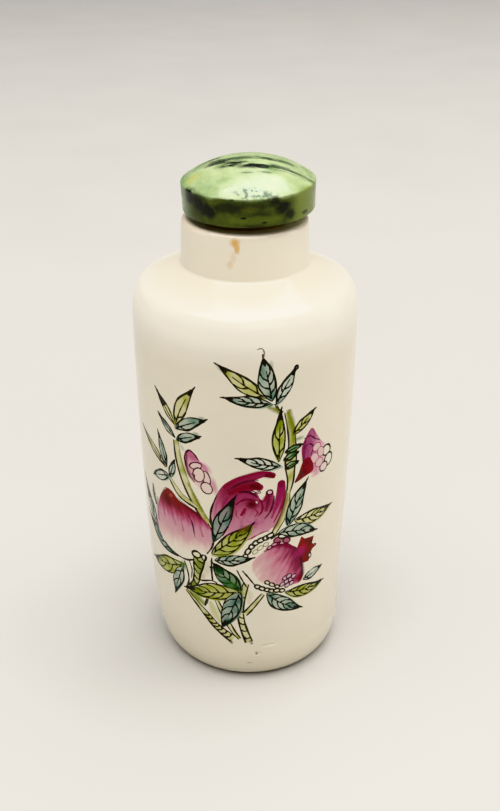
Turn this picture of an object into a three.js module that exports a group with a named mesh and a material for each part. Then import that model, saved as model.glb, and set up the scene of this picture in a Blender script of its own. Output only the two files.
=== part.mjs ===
// A porcelain snuff bottle with a stone-capped stopper.
//
// Units are millimetres and +Z is up. The origin is on the bottle's axis, in the plane that its foot ring
// stands on. The front of the bottle, where its painting is centred, faces -Y.

import * as THREE from "three";

// --- Bottle, outside ---------------------------------------------------------------------------------------
const BODY_RADIUS = 15; // at the shoulder, where the body is widest
const BASE_RADIUS = 13.7; // where the side meets the rounding above the foot
const SIDE_SWELL = 0.33; // how far the side swells past a straight taper, halfway up
const FOOT_RADIUS = 11.25; // outer edge of the foot ring
const FOOT_ROUNDING_HEIGHT = 5.9; // the rounding from the foot ring up to the side
const SHOULDER_START = 53.2; // height at which the side starts to turn in
const SHOULDER_ROUNDING = { across: 1.85, up: 4.5, sweep: THREE.MathUtils.degToRad(79.5) };
const NECK_FOOT_RADIUS = 8.42;
const NECK_TOP_RADIUS = 8.22;
const NECK_FILLET = 0.45; // glaze pooled in the corner between shoulder and neck
const HEIGHT = 65.9; // to the top of the lip
const LIP_ROUNDING = 0.65;

// --- Bottle, inside and underneath -------------------------------------------------------------------------
const WALL = 2.2;
const BORE_RADIUS = 5.6; // through the neck
const CHAMBER_FLOOR = 3.3; // height of the inside floor
const CHAMBER_SHOULDER_START = 51.8;
const CHAMBER_TOP = 57; // where the chamber closes to the bore
const CHAMBER_FLOOR_ROUNDING = { across: 3.4, up: 5.6 };
const FOOT_RING_WIDTH = 1.9;
const BASE_RECESS = 0.9; // how far the middle of the base is above the foot ring
const RECESS_SLOPE = 0.5; // the foot ring's inner side leans out by this much

// --- Stopper -----------------------------------------------------------------------------------------------
const CAP_LOWER_RADIUS = 8.42;
const CAP_UPPER_RADIUS = 8.54;
const CAP_BAND_HEIGHT = 3.52;
const CAP_DOME_RISE = 2.84;
const CAP_EDGE_ROUNDING = 0.45;
const CAP_CLEARANCE = 1.22; // between the lip and the cap's underside, on the axis
const CAP_OFFSET = 0.5; // the cap is fixed to its cork a little to the right of centre
const STOPPER_TILT_FRONT = THREE.MathUtils.degToRad(1.1); // the front edge is lower than the back
const STOPPER_TILT_RIGHT = THREE.MathUtils.degToRad(1.3); // the right edge is higher than the left
const CORK_TOP_RADIUS = 5.25;
const CORK_BOTTOM_RADIUS = 4.85;
const CORK_LENGTH = 7.7;
const CORK_CHAMFER = 0.5;
const JOINT_GAP = 0.3; // between the cork's top and the cap that is glued to it

const BOTTLE_SEGMENTS = 64;
const CAP_SEGMENTS = 64;
const CORK_SEGMENTS = 32;

// Points of an elliptical arc in (radius, height), from one angle to another, both ends included.
function arc(centreRadius, centreHeight, across, up, fromAngle, toAngle, steps) {
  const points = [];
  for (let i = 0; i <= steps; i++) {
    const angle = fromAngle + ((toAngle - fromAngle) * i) / steps;
    points.push([centreRadius + across * Math.cos(angle), centreHeight + up * Math.sin(angle)]);
  }
  return points;
}

// The outside radius of the side, from the rounding above the foot (0) to the shoulder (1).
function sideRadius(share) {
  const taper = BASE_RADIUS + (BODY_RADIUS - BASE_RADIUS) * share;
  return taper + SIDE_SWELL * 4 * share * (1 - share);
}

// Points of the side, pushed in by an inset, between two shares of its height.
function side(inset, fromShare, toShare, steps) {
  const points = [];
  for (let i = 0; i <= steps; i++) {
    const share = fromShare + ((toShare - fromShare) * i) / steps;
    const height = FOOT_ROUNDING_HEIGHT + (SHOULDER_START - FOOT_ROUNDING_HEIGHT) * share;
    points.push([sideRadius(share) - inset, height]);
  }
  return points;
}

function shareAt(height) {
  return (height - FOOT_ROUNDING_HEIGHT) / (SHOULDER_START - FOOT_ROUNDING_HEIGHT);
}

// Underside, from the axis to the outer edge of the foot ring.
function underside() {
  const ringInner = FOOT_RADIUS - FOOT_RING_WIDTH;
  return [
    [0, BASE_RECESS],
    [ringInner - RECESS_SLOPE, BASE_RECESS],
    [ringInner, 0],
  ];
}

// Outside, from the foot ring to the inner edge of the lip.
function outside() {
  const { across, up, sweep } = SHOULDER_ROUNDING;
  const rounding = arc(BODY_RADIUS - across, SHOULDER_START, across, up, 0, sweep, 9);
  // Past its rounding the shoulder runs straight up to the neck, at the slope the rounding ends with.
  const [endRadius, endHeight] = rounding[rounding.length - 1];
  const slope = (up * Math.cos(sweep)) / (across * Math.sin(sweep));
  const lean = Math.atan(slope);
  const neckFoot = endHeight + (endRadius - NECK_FOOT_RADIUS) * slope;
  // The fillet touches both the sloping shoulder and the upright neck.
  const filletRadius = NECK_FOOT_RADIUS + NECK_FILLET;
  const filletHeight = neckFoot - NECK_FILLET * slope + NECK_FILLET / Math.cos(lean);
  const fillet = arc(filletRadius, filletHeight, NECK_FILLET, NECK_FILLET,
    1.5 * Math.PI - lean, Math.PI, 3);
  const lip = arc(NECK_TOP_RADIUS - LIP_ROUNDING, HEIGHT - LIP_ROUNDING, LIP_ROUNDING, LIP_ROUNDING,
    0, 0.5 * Math.PI, 4);
  const footRounding = arc(FOOT_RADIUS, FOOT_ROUNDING_HEIGHT, BASE_RADIUS - FOOT_RADIUS,
    FOOT_ROUNDING_HEIGHT, -0.5 * Math.PI, 0, 8);
  return [...footRounding, ...side(0, 0, 1, 7).slice(1), ...rounding.slice(1), ...fillet, ...lip];
}

// Inside, from the lip down the bore, round the chamber and back to the axis on its floor.
function inside() {
  const lip = arc(BORE_RADIUS + LIP_ROUNDING, HEIGHT - LIP_ROUNDING, LIP_ROUNDING, LIP_ROUNDING,
    0.5 * Math.PI, Math.PI, 4);
  const topShare = shareAt(CHAMBER_SHOULDER_START);
  const { across, up } = CHAMBER_FLOOR_ROUNDING;
  const bottomShare = shareAt(CHAMBER_FLOOR + up);
  const wallTop = sideRadius(topShare) - WALL;
  const wallBottom = sideRadius(bottomShare) - WALL;
  const shoulder = arc(BORE_RADIUS, CHAMBER_SHOULDER_START, wallTop - BORE_RADIUS,
    CHAMBER_TOP - CHAMBER_SHOULDER_START, 0.5 * Math.PI, 0, 7);
  const floor = arc(wallBottom - across, CHAMBER_FLOOR + up, across, up, 0, -0.5 * Math.PI, 5);
  return [...lip, ...shoulder, ...side(WALL, topShare, bottomShare, 4).slice(1), ...floor.slice(1),
    [0, CHAMBER_FLOOR]];
}

// A closed solid of revolution about +Z, from a profile that starts and ends on the axis.
function turned(profile, segments) {
  const points = profile.map(([radius, height]) => new THREE.Vector2(radius, height));
  const geometry = new THREE.LatheGeometry(points, segments);
  geometry.rotateX(0.5 * Math.PI); // a lathe turns about +Y
  return geometry;
}

function named(name, geometry, colour, roughness) {
  const material = new THREE.MeshStandardMaterial({ color: colour, roughness, metalness: 0 });
  const mesh = new THREE.Mesh(geometry, material);
  mesh.name = name;
  return mesh;
}

function makeBottle() {
  const profile = [...underside(), ...outside(), ...inside()];
  return named("bottle", turned(profile, BOTTLE_SEGMENTS), 0xe6ddcb, 0.18);
}

// The cap's underside is at height 0 and its top is a shallow part of a sphere.
function makeCap() {
  const sphereRadius = (CAP_UPPER_RADIUS ** 2 + CAP_DOME_RISE ** 2) / (2 * CAP_DOME_RISE);
  const sphereCentre = CAP_BAND_HEIGHT + CAP_DOME_RISE - sphereRadius;
  const rimAngle = Math.asin((CAP_UPPER_RADIUS - 0.4 * CAP_EDGE_ROUNDING) / sphereRadius);
  const lowerEdge = arc(CAP_LOWER_RADIUS - CAP_EDGE_ROUNDING, CAP_EDGE_ROUNDING, CAP_EDGE_ROUNDING,
    CAP_EDGE_ROUNDING, -0.5 * Math.PI, 0, 4);
  const upperEdge = [[CAP_UPPER_RADIUS, CAP_BAND_HEIGHT - 0.5 * CAP_EDGE_ROUNDING]];
  const dome = arc(0, sphereCentre, sphereRadius, sphereRadius, 0.5 * Math.PI - rimAngle, 0.5 * Math.PI, 8);
  dome[dome.length - 1][0] = 0;
  const cap = named("stopper_cap", turned([[0, 0], ...lowerEdge, ...upperEdge, ...dome], CAP_SEGMENTS),
    0x8f9a6c, 0.3);
  cap.position.x = CAP_OFFSET;
  return cap;
}

// The cork hangs below the cap, in the bore.
function makeCork() {
  const top = -JOINT_GAP;
  const bottom = top - CORK_LENGTH;
  const profile = [
    [0, bottom],
    [CORK_BOTTOM_RADIUS - CORK_CHAMFER, bottom],
    [CORK_BOTTOM_RADIUS, bottom + CORK_CHAMFER],
    [CORK_TOP_RADIUS, top],
    [0, top],
  ];
  return named("stopper_cork", turned(profile, CORK_SEGMENTS), 0x9a6f45, 0.9);
}

// Cap and cork are glued together, so they tilt as one.
function makeStopper() {
  const stopper = new THREE.Group();
  stopper.add(makeCap(), makeCork());
  stopper.position.z = HEIGHT + CAP_CLEARANCE;
  stopper.rotation.set(STOPPER_TILT_FRONT, -STOPPER_TILT_RIGHT, 0);
  return stopper;
}

const snuffBottle = new THREE.Group();
snuffBottle.add(makeBottle(), makeStopper());

export default snuffBottle;
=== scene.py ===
# %% [markdown]
# # A painted porcelain snuff bottle
#
# The real object is a palm-sized cylinder bottle in white porcelain, painted over the glaze with fruit,
# buds and leaves, and closed by a stopper: a green stone cap on a cork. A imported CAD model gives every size,
# so this lesson only has to dress it. Each piece is built where the CAD says it is, and then takes over from
# its plain solid.

import math

import bmesh
import bpy
import numpy as np
from mathutils import Matrix, Vector
from mathutils.geometry import delaunay_2d_cdt


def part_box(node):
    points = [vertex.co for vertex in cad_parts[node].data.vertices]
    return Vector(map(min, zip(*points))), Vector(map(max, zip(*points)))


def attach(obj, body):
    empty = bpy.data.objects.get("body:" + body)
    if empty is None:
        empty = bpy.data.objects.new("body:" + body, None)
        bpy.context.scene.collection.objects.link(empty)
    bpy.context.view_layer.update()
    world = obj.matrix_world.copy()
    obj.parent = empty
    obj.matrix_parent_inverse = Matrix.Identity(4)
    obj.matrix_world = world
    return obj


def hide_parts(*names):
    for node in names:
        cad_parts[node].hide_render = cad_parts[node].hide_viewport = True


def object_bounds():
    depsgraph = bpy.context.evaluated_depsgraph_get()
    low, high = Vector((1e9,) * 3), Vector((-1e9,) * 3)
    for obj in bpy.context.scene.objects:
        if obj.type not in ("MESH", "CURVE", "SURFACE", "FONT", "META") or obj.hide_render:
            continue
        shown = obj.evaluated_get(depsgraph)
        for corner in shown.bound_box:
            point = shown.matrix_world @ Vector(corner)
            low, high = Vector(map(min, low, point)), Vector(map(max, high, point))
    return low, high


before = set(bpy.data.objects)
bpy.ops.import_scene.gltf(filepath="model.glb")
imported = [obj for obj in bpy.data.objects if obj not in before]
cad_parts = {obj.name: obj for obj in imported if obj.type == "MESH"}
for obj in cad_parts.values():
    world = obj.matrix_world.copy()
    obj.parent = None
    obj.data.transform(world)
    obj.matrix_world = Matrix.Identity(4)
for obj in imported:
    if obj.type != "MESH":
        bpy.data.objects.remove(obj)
cad_low, cad_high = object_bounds()
MM = 0.001
bottle_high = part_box("bottle")[1]
HEIGHT = bottle_high.z / MM
BODY_RADIUS = bottle_high.x / MM


def show(thing):
    """Puts an object in the scene."""
    bpy.context.scene.collection.objects.link(thing)
    return thing


print(len(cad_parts), "plain solids in the frame")
print(f"bottle {2 * BODY_RADIUS:.1f} mm across, {HEIGHT:.1f} mm to the lip, {cad_high.z / MM:.1f} mm in all")

# %% [markdown]
# ## Stage, camera and light
#
# The camera looks down on the bottle by about 28 degrees from a hand's length away. At that range its
# perspective is strong: the foot looks clearly narrower than the shoulder. The floor is plain and pale.
# One wide soft box hangs overhead, so that its reflection lies on the shoulder and on the top of the cap. A
# weaker one in front lights the painting, and one on each side keeps the edges from going grey.

# %% Camera
EYE = Vector((0.65, -129.75, 107.6)) * MM
LOOK_DOWN = math.radians(28.1)
LENS = 46.6

camera_data = bpy.data.cameras.new("camera")
camera_data.lens = LENS
camera_data.sensor_width = 36
camera_data.clip_start = 0.005
camera = show(bpy.data.objects.new("camera", camera_data))
camera.location = EYE
camera.rotation_euler = (math.radians(90) - LOOK_DOWN, 0, 0)
bpy.context.scene.camera = camera
print("camera", [round(c / MM, 1) for c in camera.location], "mm")


# %% Soft boxes
MIDDLE = Vector((0, 0, 0.5 * cad_high.z))
WARM, COOL = (1, 0.99, 0.98), (0.98, 0.99, 1)


def soft_box(name, place, size, watts, colour):
    """A rectangular lamp that faces the middle of the bottle. Its place and size are in metres."""
    lamp = bpy.data.lights.new(name, "AREA")
    lamp.shape = "RECTANGLE"
    lamp.size, lamp.size_y = size
    lamp.energy = watts
    lamp.color = colour
    light = show(bpy.data.objects.new(name, lamp))
    light.location = place
    light.rotation_euler = (MIDDLE - Vector(place)).to_track_quat("-Z", "Y").to_euler()


soft_box("key", (0.05, -0.08, 1.20), (1.7, 1.2), 40, WARM)
soft_box("front", (0.35, -1.00, 0.80), (0.9, 0.6), 2.4, WARM)
soft_box("left", (-0.90, 0.10, 0.35), (0.4, 0.8), 0.6, COOL)
soft_box("right", (0.90, 0.10, 0.35), (0.4, 0.8), 1.5, (1, 0.99, 0.97))

world = bpy.data.worlds.new("studio")
world.use_nodes = True
sky = world.node_tree.nodes["Background"].inputs
sky["Color"].default_value = (0.94, 0.96, 1, 1)
sky["Strength"].default_value = 0.18
bpy.context.scene.world = world
bpy.context.scene.view_settings.view_transform = "Khronos PBR Neutral"
print(len(bpy.data.lights), "soft boxes, all facing", [round(c / MM, 1) for c in MIDDLE], "mm")

# %% [markdown]
# ## Small helpers for materials and node trees
#
# A material is a Principled shader and a few nodes that feed it. The helpers below keep each one short: they
# make a node, set its values and join its sockets. Colours are written as the eye sees them, in 0 to 255,
# and turned into the linear light that the renderer works in.


# %% Colour and node helpers
def pigment(red, green, blue):
    """Linear colour from a colour as seen on a screen, 0 to 255."""
    seen = np.array([red, green, blue]) / 255
    return tuple(np.where(seen <= 0.04045, seen / 12.92, ((seen + 0.055) / 1.055) ** 2.4))


def opaque(colour):
    return (*colour, 1)


def feed(tree, node, inputs):
    """Gives a node its inputs: plain values, or sockets to join."""
    for key, value in inputs.items():
        if isinstance(value, bpy.types.NodeSocket):
            tree.links.new(value, node.inputs[key])
        else:
            node.inputs[key].default_value = value


def put(tree, kind, inputs=None, **settings):
    """A new node with some of its settings and its inputs."""
    node = tree.nodes.new(kind)
    for key, value in settings.items():
        setattr(node, key, value)
    feed(tree, node, inputs or {})
    return node


def new_material(name):
    material = bpy.data.materials.new(name)
    material.use_nodes = True
    return material, material.node_tree, material.node_tree.nodes["Principled BSDF"]


def blend(tree, share, first, second):
    """A colour between two colours."""
    return put(tree, "ShaderNodeMix", {0: share, 6: first, 7: second}, data_type="RGBA").outputs[2]


def sums(tree, operation, *values, clamp=False):
    """One step of arithmetic on numbers or sockets."""
    node = put(tree, "ShaderNodeMath", dict(enumerate(values)), operation=operation, use_clamp=clamp)
    return node.outputs[0]


def plus(tree, first, second):
    return sums(tree, "ADD", first, second)


def minus(tree, first, second):
    return sums(tree, "SUBTRACT", first, second)


def times(tree, first, second):
    return sums(tree, "MULTIPLY", first, second)


def ramp(tree, value, low, high, to_low=0.0, to_high=1.0):
    """A number that rises smoothly from one value to another as its input crosses a range."""
    ends = {"Value": value, "From Min": low, "From Max": high, "To Min": to_low, "To Max": to_high}
    return put(tree, "ShaderNodeMapRange", ends, interpolation_type="SMOOTHSTEP").outputs["Result"]


def bumped(tree, height, strength=1.0):
    """A normal from a height in millimetres."""
    return put(tree, "ShaderNodeBump", {"Height": height, "Strength": strength, "Distance": MM}).outputs[0]


print("mid grey on a screen is", round(float(pigment(128, 128, 128)[0]), 3), "in linear light")

# %% [markdown]
# ### Two shared effects
#
# Porcelain, stone and cork are all a little uneven. "Cloudiness" gives a mask of soft patches of a given
# size, and "Blot" a single stain or spot with a ragged edge at a given place. Both are node groups with
# named inputs, so that every material can use them with its own values.


# %% Shared node groups
def new_group(name, values):
    """A node group with an input for each value and one output, a mask."""
    group = bpy.data.node_groups.new(name, "ShaderNodeTree")
    for socket_name, value in values.items():
        kind = "NodeSocketVector" if isinstance(value, tuple) else "NodeSocketFloat"
        group.interface.new_socket(socket_name, in_out="INPUT", socket_type=kind).default_value = value
    group.interface.new_socket("Mask", in_out="OUTPUT", socket_type="NodeSocketFloat")
    return group, group.nodes.new("NodeGroupInput").outputs, group.nodes.new("NodeGroupOutput").inputs


def cloudiness_group():
    """Soft patches: 0 to 1, with a patch size in millimetres and a contrast."""
    group, given, result = new_group("Cloudiness", {"Patch size": 5.0, "Contrast": 1.0,
                                                    "Detail": 3.0, "Offset": (0, 0, 0)})
    place = put(group, "ShaderNodeTexCoord").outputs["Object"]
    moved = put(group, "ShaderNodeVectorMath", {0: place, 1: given["Offset"]}, operation="ADD").outputs[0]
    per_metre = sums(group, "DIVIDE", 1 / MM, given["Patch size"])
    noise = put(group, "ShaderNodeTexNoise", {"Vector": moved, "Scale": per_metre, "Detail": given["Detail"]})
    stretched = times(group, minus(group, noise.outputs["Fac"], 0.5), given["Contrast"])
    group.links.new(sums(group, "ADD", stretched, 0.5, clamp=True), result["Mask"])
    return group


def blot_group():
    """One stain: 1 inside an ellipsoid, fading past its ragged edge. Its centre and reach are in metres."""
    group, given, result = new_group("Blot", {"Centre": (0, 0, 0), "Reach": (MM, MM, MM),
                                              "Raggedness": 0.5, "Grain": 1.0, "Softness": 0.4})
    place = put(group, "ShaderNodeTexCoord").outputs["Object"]
    away = put(group, "ShaderNodeVectorMath", {0: place, 1: given["Centre"]}, operation="SUBTRACT").outputs[0]
    scaled = put(group, "ShaderNodeVectorMath", {0: away, 1: given["Reach"]}, operation="DIVIDE").outputs[0]
    distance = put(group, "ShaderNodeVectorMath", {0: scaled}, operation="LENGTH").outputs["Value"]
    per_metre = sums(group, "DIVIDE", 1 / MM, given["Grain"])
    noise = put(group, "ShaderNodeTexNoise", {"Vector": place, "Scale": per_metre, "Detail": 3.0})
    push = times(group, minus(group, noise.outputs["Fac"], 0.5), given["Raggedness"])
    fade = sums(group, "DIVIDE", minus(group, plus(group, distance, push), 1.0), given["Softness"])
    outside = sums(group, "ADD", fade, 0.5, clamp=True)
    group.links.new(sums(group, "SUBTRACT", 1.0, outside, clamp=True), result["Mask"])
    return group


CLOUDINESS = cloudiness_group()
BLOT = blot_group()


def clouds(tree, patch_mm, contrast, detail=3.0, offset=(0, 0, 0)):
    """A mask of soft patches. The offset, in metres, sets one use apart from another."""
    values = {"Patch size": patch_mm, "Contrast": contrast, "Detail": detail, "Offset": offset}
    return put(tree, "ShaderNodeGroup", values, node_tree=CLOUDINESS).outputs["Mask"]


def blot(tree, centre_mm, reach_mm, raggedness, grain_mm, softness):
    """A mask of one spot."""
    values = {"Centre": [c * MM for c in centre_mm], "Reach": [c * MM for c in reach_mm],
              "Raggedness": raggedness, "Grain": grain_mm, "Softness": softness}
    return put(tree, "ShaderNodeGroup", values, node_tree=BLOT).outputs["Mask"]


print("groups:", CLOUDINESS.name, BLOT.name)

# %% [markdown]
# ## Turning a form
#
# Bottle, cap and cork are all turned: one profile, swept round an axis. A Screw modifier or Spin would do
# it, but here the rule is written as Geometry Nodes, so that it also hands out a UV map as it goes: round
# the form in one direction and along the profile in the other. A grid gets one row for each profile point
# and one column for each step round, and every grid point is then moved to where its profile point would
# be after that turn. Merging closes the seam and the poles.


# %% The turning tree
TOUCHING = 1e-6  # points closer than this are one point, in metres


def whole(tree, operation, *values):
    """One step of arithmetic on whole numbers."""
    return put(tree, "FunctionNodeIntegerMath", dict(enumerate(values)), operation=operation).outputs[0]


def turning_tree():
    tree = bpy.data.node_groups.new("Turned form", "GeometryNodeTree")
    face = tree.interface
    face.new_socket("Profile", in_out="INPUT", socket_type="NodeSocketGeometry")
    steps = face.new_socket("Steps round", in_out="INPUT", socket_type="NodeSocketInt")
    finish = face.new_socket("Finish", in_out="INPUT", socket_type="NodeSocketMaterial")
    face.new_socket("Form", in_out="OUTPUT", socket_type="NodeSocketGeometry")
    given = tree.nodes.new("NodeGroupInput")
    result = tree.nodes.new("NodeGroupOutput")
    points = put(tree, "GeometryNodeAttributeDomainSize", {0: given.outputs["Profile"]}, component="MESH")
    count = points.outputs["Point Count"]
    columns = whole(tree, "ADD", given.outputs["Steps round"], 1)
    grid = put(tree, "GeometryNodeMeshGrid", {"Vertices X": count, "Vertices Y": columns})
    index = put(tree, "GeometryNodeInputIndex").outputs[0]
    row = whole(tree, "DIVIDE_FLOOR", index, columns)
    column = whole(tree, "MODULO", index, columns)
    share_round = sums(tree, "DIVIDE", column, given.outputs["Steps round"])
    share_along = sums(tree, "DIVIDE", row, whole(tree, "SUBTRACT", count, 1))
    place = put(tree, "GeometryNodeInputPosition").outputs[0]
    on_profile = put(tree, "GeometryNodeSampleIndex",
                     {"Geometry": given.outputs["Profile"], "Value": place, "Index": row},
                     data_type="FLOAT_VECTOR", domain="POINT")
    angle = times(tree, share_round, 2 * math.pi)
    turned = put(tree, "ShaderNodeVectorRotate", {"Vector": on_profile.outputs[0], "Angle": angle},
                 rotation_type="Z_AXIS")
    moved = put(tree, "GeometryNodeSetPosition",
                {"Geometry": grid.outputs["Mesh"], "Position": turned.outputs[0]})
    chart = put(tree, "ShaderNodeCombineXYZ", {"X": share_round, "Y": share_along}).outputs[0]
    at_points = put(tree, "GeometryNodeFieldOnDomain", {0: chart}, domain="POINT",
                    data_type="FLOAT_VECTOR").outputs[0]
    charted = put(tree, "GeometryNodeStoreNamedAttribute",
                  {"Geometry": moved.outputs[0], "Name": "OFBake", "Value": at_points},
                  data_type="FLOAT2", domain="CORNER")
    merged = put(tree, "GeometryNodeMergeByDistance", {"Geometry": charted.outputs[0], "Distance": TOUCHING})
    smooth = put(tree, "GeometryNodeSetShadeSmooth", {"Geometry": merged.outputs[0]})
    real = put(tree, "GeometryNodeRealizeInstances", {"Geometry": smooth.outputs[0]})
    finished = put(tree, "GeometryNodeSetMaterial",
                   {"Geometry": real.outputs[0], "Material": given.outputs["Finish"]})
    tree.links.new(finished.outputs[0], result.inputs["Form"])
    return tree, steps.identifier, finish.identifier


TURNING, STEPS_SOCKET, FINISH_SOCKET = turning_tree()


def turned_form(name, profile_mm, steps, material):
    """A plain mesh, turned about Z from (radius, height) points in millimetres."""
    line = bpy.data.meshes.new(name + "_profile")
    line.from_pydata([(r * MM, 0, z * MM) for r, z in profile_mm],
                     [(i, i + 1) for i in range(len(profile_mm) - 1)], [])
    draft = show(bpy.data.objects.new(name + "_draft", line))
    modifier = draft.modifiers.new("turn", "NODES")
    modifier.node_group = TURNING
    modifier[STEPS_SOCKET] = steps
    modifier[FINISH_SOCKET] = material
    bpy.context.view_layer.update()
    graph = bpy.context.evaluated_depsgraph_get()
    mesh = bpy.data.meshes.new_from_object(draft.evaluated_get(graph))
    mesh.name = name
    bpy.data.objects.remove(draft)
    return mesh


def arc(centre, reach, start, end, steps):
    """Points of an elliptical arc in (radius, height), angles in degrees, both ends included."""
    angles = np.radians(np.linspace(start, end, steps + 1))
    return [(centre[0] + reach[0] * math.cos(a), centre[1] + reach[1] * math.sin(a)) for a in angles]


def eased(corners, radius, steps=3):
    """A polyline with its inner corners rounded, each by the same small radius."""
    points = [corners[0]]
    for before, corner, after in zip(corners, corners[1:], corners[2:]):
        here = Vector(corner)
        back = (Vector(before) - here).normalized() * radius
        on = (Vector(after) - here).normalized() * radius
        for step in range(steps + 1):
            t = step / steps
            points.append(tuple(here + back * (1 - t) ** 2 + on * t ** 2))
    return points + [corners[-1]]


print("turning tree with", len(TURNING.nodes), "nodes")

# %% [markdown]
# ## The bottle's form
#
# The wall narrows a little towards the foot and swells slightly on the way, as a thrown cylinder does. The
# shoulder turns in quickly and then runs up to a short wide neck with a rounded lip. The bottle is hollow:
# the profile goes over the lip, down the bore and round the chamber. Only the painted wall is left out
# here, because it is cut from a flat sheet further on.

# %% Sizes of the form, in millimetres
BASE_RADIUS = 13.7
SIDE_SWELL = 0.33
FOOT_RADIUS = 11.25
SIDE_BOTTOM = 5.9
SIDE_TOP = 53.2
SHOULDER_ACROSS, SHOULDER_UP, SHOULDER_SWEEP = 1.85, 4.5, 79.5
NECK_FOOT_RADIUS, NECK_TOP_RADIUS = 8.42, 8.22
NECK_FILLET = 0.45
LIP = 0.65
BORE_RADIUS = 5.6
BORE_RINGS = (63.5, 61.3, 59.1)
WALL = 2.2
INSIDE_FLOOR = 3.3
CHAMBER_SHOULDER, CHAMBER_TOP = 51.8, 57.0
CHAMBER_CORNER = (3.4, 5.6)  # how far its floor's rounding reaches in and up
RING_WIDTH, RING_FLAT, RING_EASE = 1.9, 0.8, 0.22
RECESS, RECESS_SLOPE = 0.9, 0.5
SHEET_TOP = 55.0  # the painted wall ends a little way up the shoulder's rounding
ROUND = 128  # steps round the bottle


def side_radius(height):
    share = (height - SIDE_BOTTOM) / (SIDE_TOP - SIDE_BOTTOM)
    return BASE_RADIUS + (BODY_RADIUS - BASE_RADIUS) * share + SIDE_SWELL * 4 * share * (1 - share)


def wall_radius(height):
    """Outside radius of the painted wall, with the start of the shoulder's rounding on top."""
    height = np.asarray(height, float)
    up = np.clip((height - SIDE_TOP) / SHOULDER_UP, 0, 1)
    rounded = BODY_RADIUS - SHOULDER_ACROSS + SHOULDER_ACROSS * np.sqrt(1 - up ** 2)
    return np.where(height > SIDE_TOP, rounded, side_radius(height))


def underside_profile():
    ring_inner = FOOT_RADIUS - RING_WIDTH
    recess = eased([(0, RECESS), (ring_inner - RECESS_SLOPE, RECESS), (ring_inner, 0),
                    (ring_inner + RING_FLAT, 0)], RING_EASE)
    spread = [(r, RECESS) for r in (1.5, 3.5, 5.5, 7.4)]
    reach = (BASE_RADIUS - FOOT_RADIUS, SIDE_BOTTOM)
    rounding = arc((FOOT_RADIUS, SIDE_BOTTOM), reach, -90, 0, 20)
    return [recess[0], *spread, *recess[1:], *rounding[:-1],
            (float(wall_radius(SIDE_BOTTOM)), SIDE_BOTTOM)]


def upper_profile():
    start = math.degrees(math.asin((SHEET_TOP - SIDE_TOP) / SHOULDER_UP))
    shoulder = arc((BODY_RADIUS - SHOULDER_ACROSS, SIDE_TOP), (SHOULDER_ACROSS, SHOULDER_UP),
                   start, SHOULDER_SWEEP, 14)
    shoulder[0] = (float(wall_radius(SHEET_TOP)), SHEET_TOP)
    end_radius, end_height = shoulder[-1]
    sweep = math.radians(SHOULDER_SWEEP)
    slope = SHOULDER_UP * math.cos(sweep) / (SHOULDER_ACROSS * math.sin(sweep))
    lean = math.degrees(math.atan(slope))
    neck_foot = end_height + (end_radius - NECK_FOOT_RADIUS) * slope
    run = [(end_radius + (NECK_FOOT_RADIUS - end_radius) * t, end_height + (neck_foot - end_height) * t)
           for t in (0.2, 0.4, 0.6, 0.8)]
    fillet_height = neck_foot - NECK_FILLET * slope + NECK_FILLET / math.cos(math.radians(lean))
    fillet = arc((NECK_FOOT_RADIUS + NECK_FILLET, fillet_height), (NECK_FILLET, NECK_FILLET),
                 270 - lean, 180, 6)
    foot_z, top_z = fillet[-1][1], HEIGHT - LIP
    neck = [(NECK_FOOT_RADIUS + (NECK_TOP_RADIUS - NECK_FOOT_RADIUS) * t, foot_z + (top_z - foot_z) * t)
            for t in (0.25, 0.5, 0.75)]
    lip_outer = arc((NECK_TOP_RADIUS - LIP, top_z), (LIP, LIP), 0, 90, 8)
    lip_inner = arc((BORE_RADIUS + LIP, top_z), (LIP, LIP), 90, 180, 8)
    return [*shoulder, *run, *fillet, *neck, *lip_outer, *lip_inner]


def chamber_profile():
    in_reach, up_reach = CHAMBER_CORNER
    low = INSIDE_FLOOR + up_reach
    top_radius = float(side_radius(CHAMBER_SHOULDER)) - WALL
    low_radius = float(side_radius(low)) - WALL
    bore = [(BORE_RADIUS, z) for z in BORE_RINGS]
    reach = (top_radius - BORE_RADIUS, CHAMBER_TOP - CHAMBER_SHOULDER)
    shoulder = arc((BORE_RADIUS, CHAMBER_SHOULDER), reach, 90, 0, 12)
    wall = [(float(side_radius(z)) - WALL, z) for z in np.linspace(CHAMBER_SHOULDER, low, 12)[1:-1]]
    corner = arc((low_radius - in_reach, low), CHAMBER_CORNER, 0, -90, 8)
    return [*bore, *shoulder, *wall, *corner, *[(r, INSIDE_FLOOR) for r in (4.5, 2.0, 0)]]


print(len(underside_profile()), "points below the wall,",
      len(upper_profile()) + len(chamber_profile()), "above and inside")

# %% [markdown]
# ## Painting on a flat sheet
#
# The painting is enamel colour over the glaze, with no height of its own. An image texture would be the
# usual way. Here it is drawn as flat shapes on the wall's unrolled sheet, x millimetres round from the
# front and y millimetres up, and the sheet's mesh is cut along every brush line. Each corner of the mesh
# then carries its own colour, so the ink stays sharp at any size and the washes still run softly from one
# tone to the next.
#
# The painter's order is kept: later shapes cover earlier ones. A shape is a list of patches and a colour
# that may change from place to place. Its fourth number is how much it hides.

# %% Pigments
INK = pigment(20, 17, 14)
DEEP_TEAL = pigment(64, 108, 98)
OLIVE, YELLOW_GREEN = pigment(118, 124, 14), pigment(166, 172, 54)
STRAW = pigment(200, 196, 134)
BROWN = pigment(112, 78, 34)
LEAF_GREEN = pigment(44, 98, 26)
CRIMSON, WINE = pigment(116, 2, 8), pigment(128, 12, 50)
MAGENTA, PLUM = pigment(154, 44, 90), pigment(66, 8, 34)
ROSE, PALE_ROSE = pigment(194, 122, 146), pigment(214, 166, 170)
LILAC = pigment(170, 112, 158)
LINE = 0.26  # the fine brush, in millimetres
LINE_HIDES = 0.96  # how much its ink covers
THINNEST = 0.04  # the brush never runs finer than this

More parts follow.
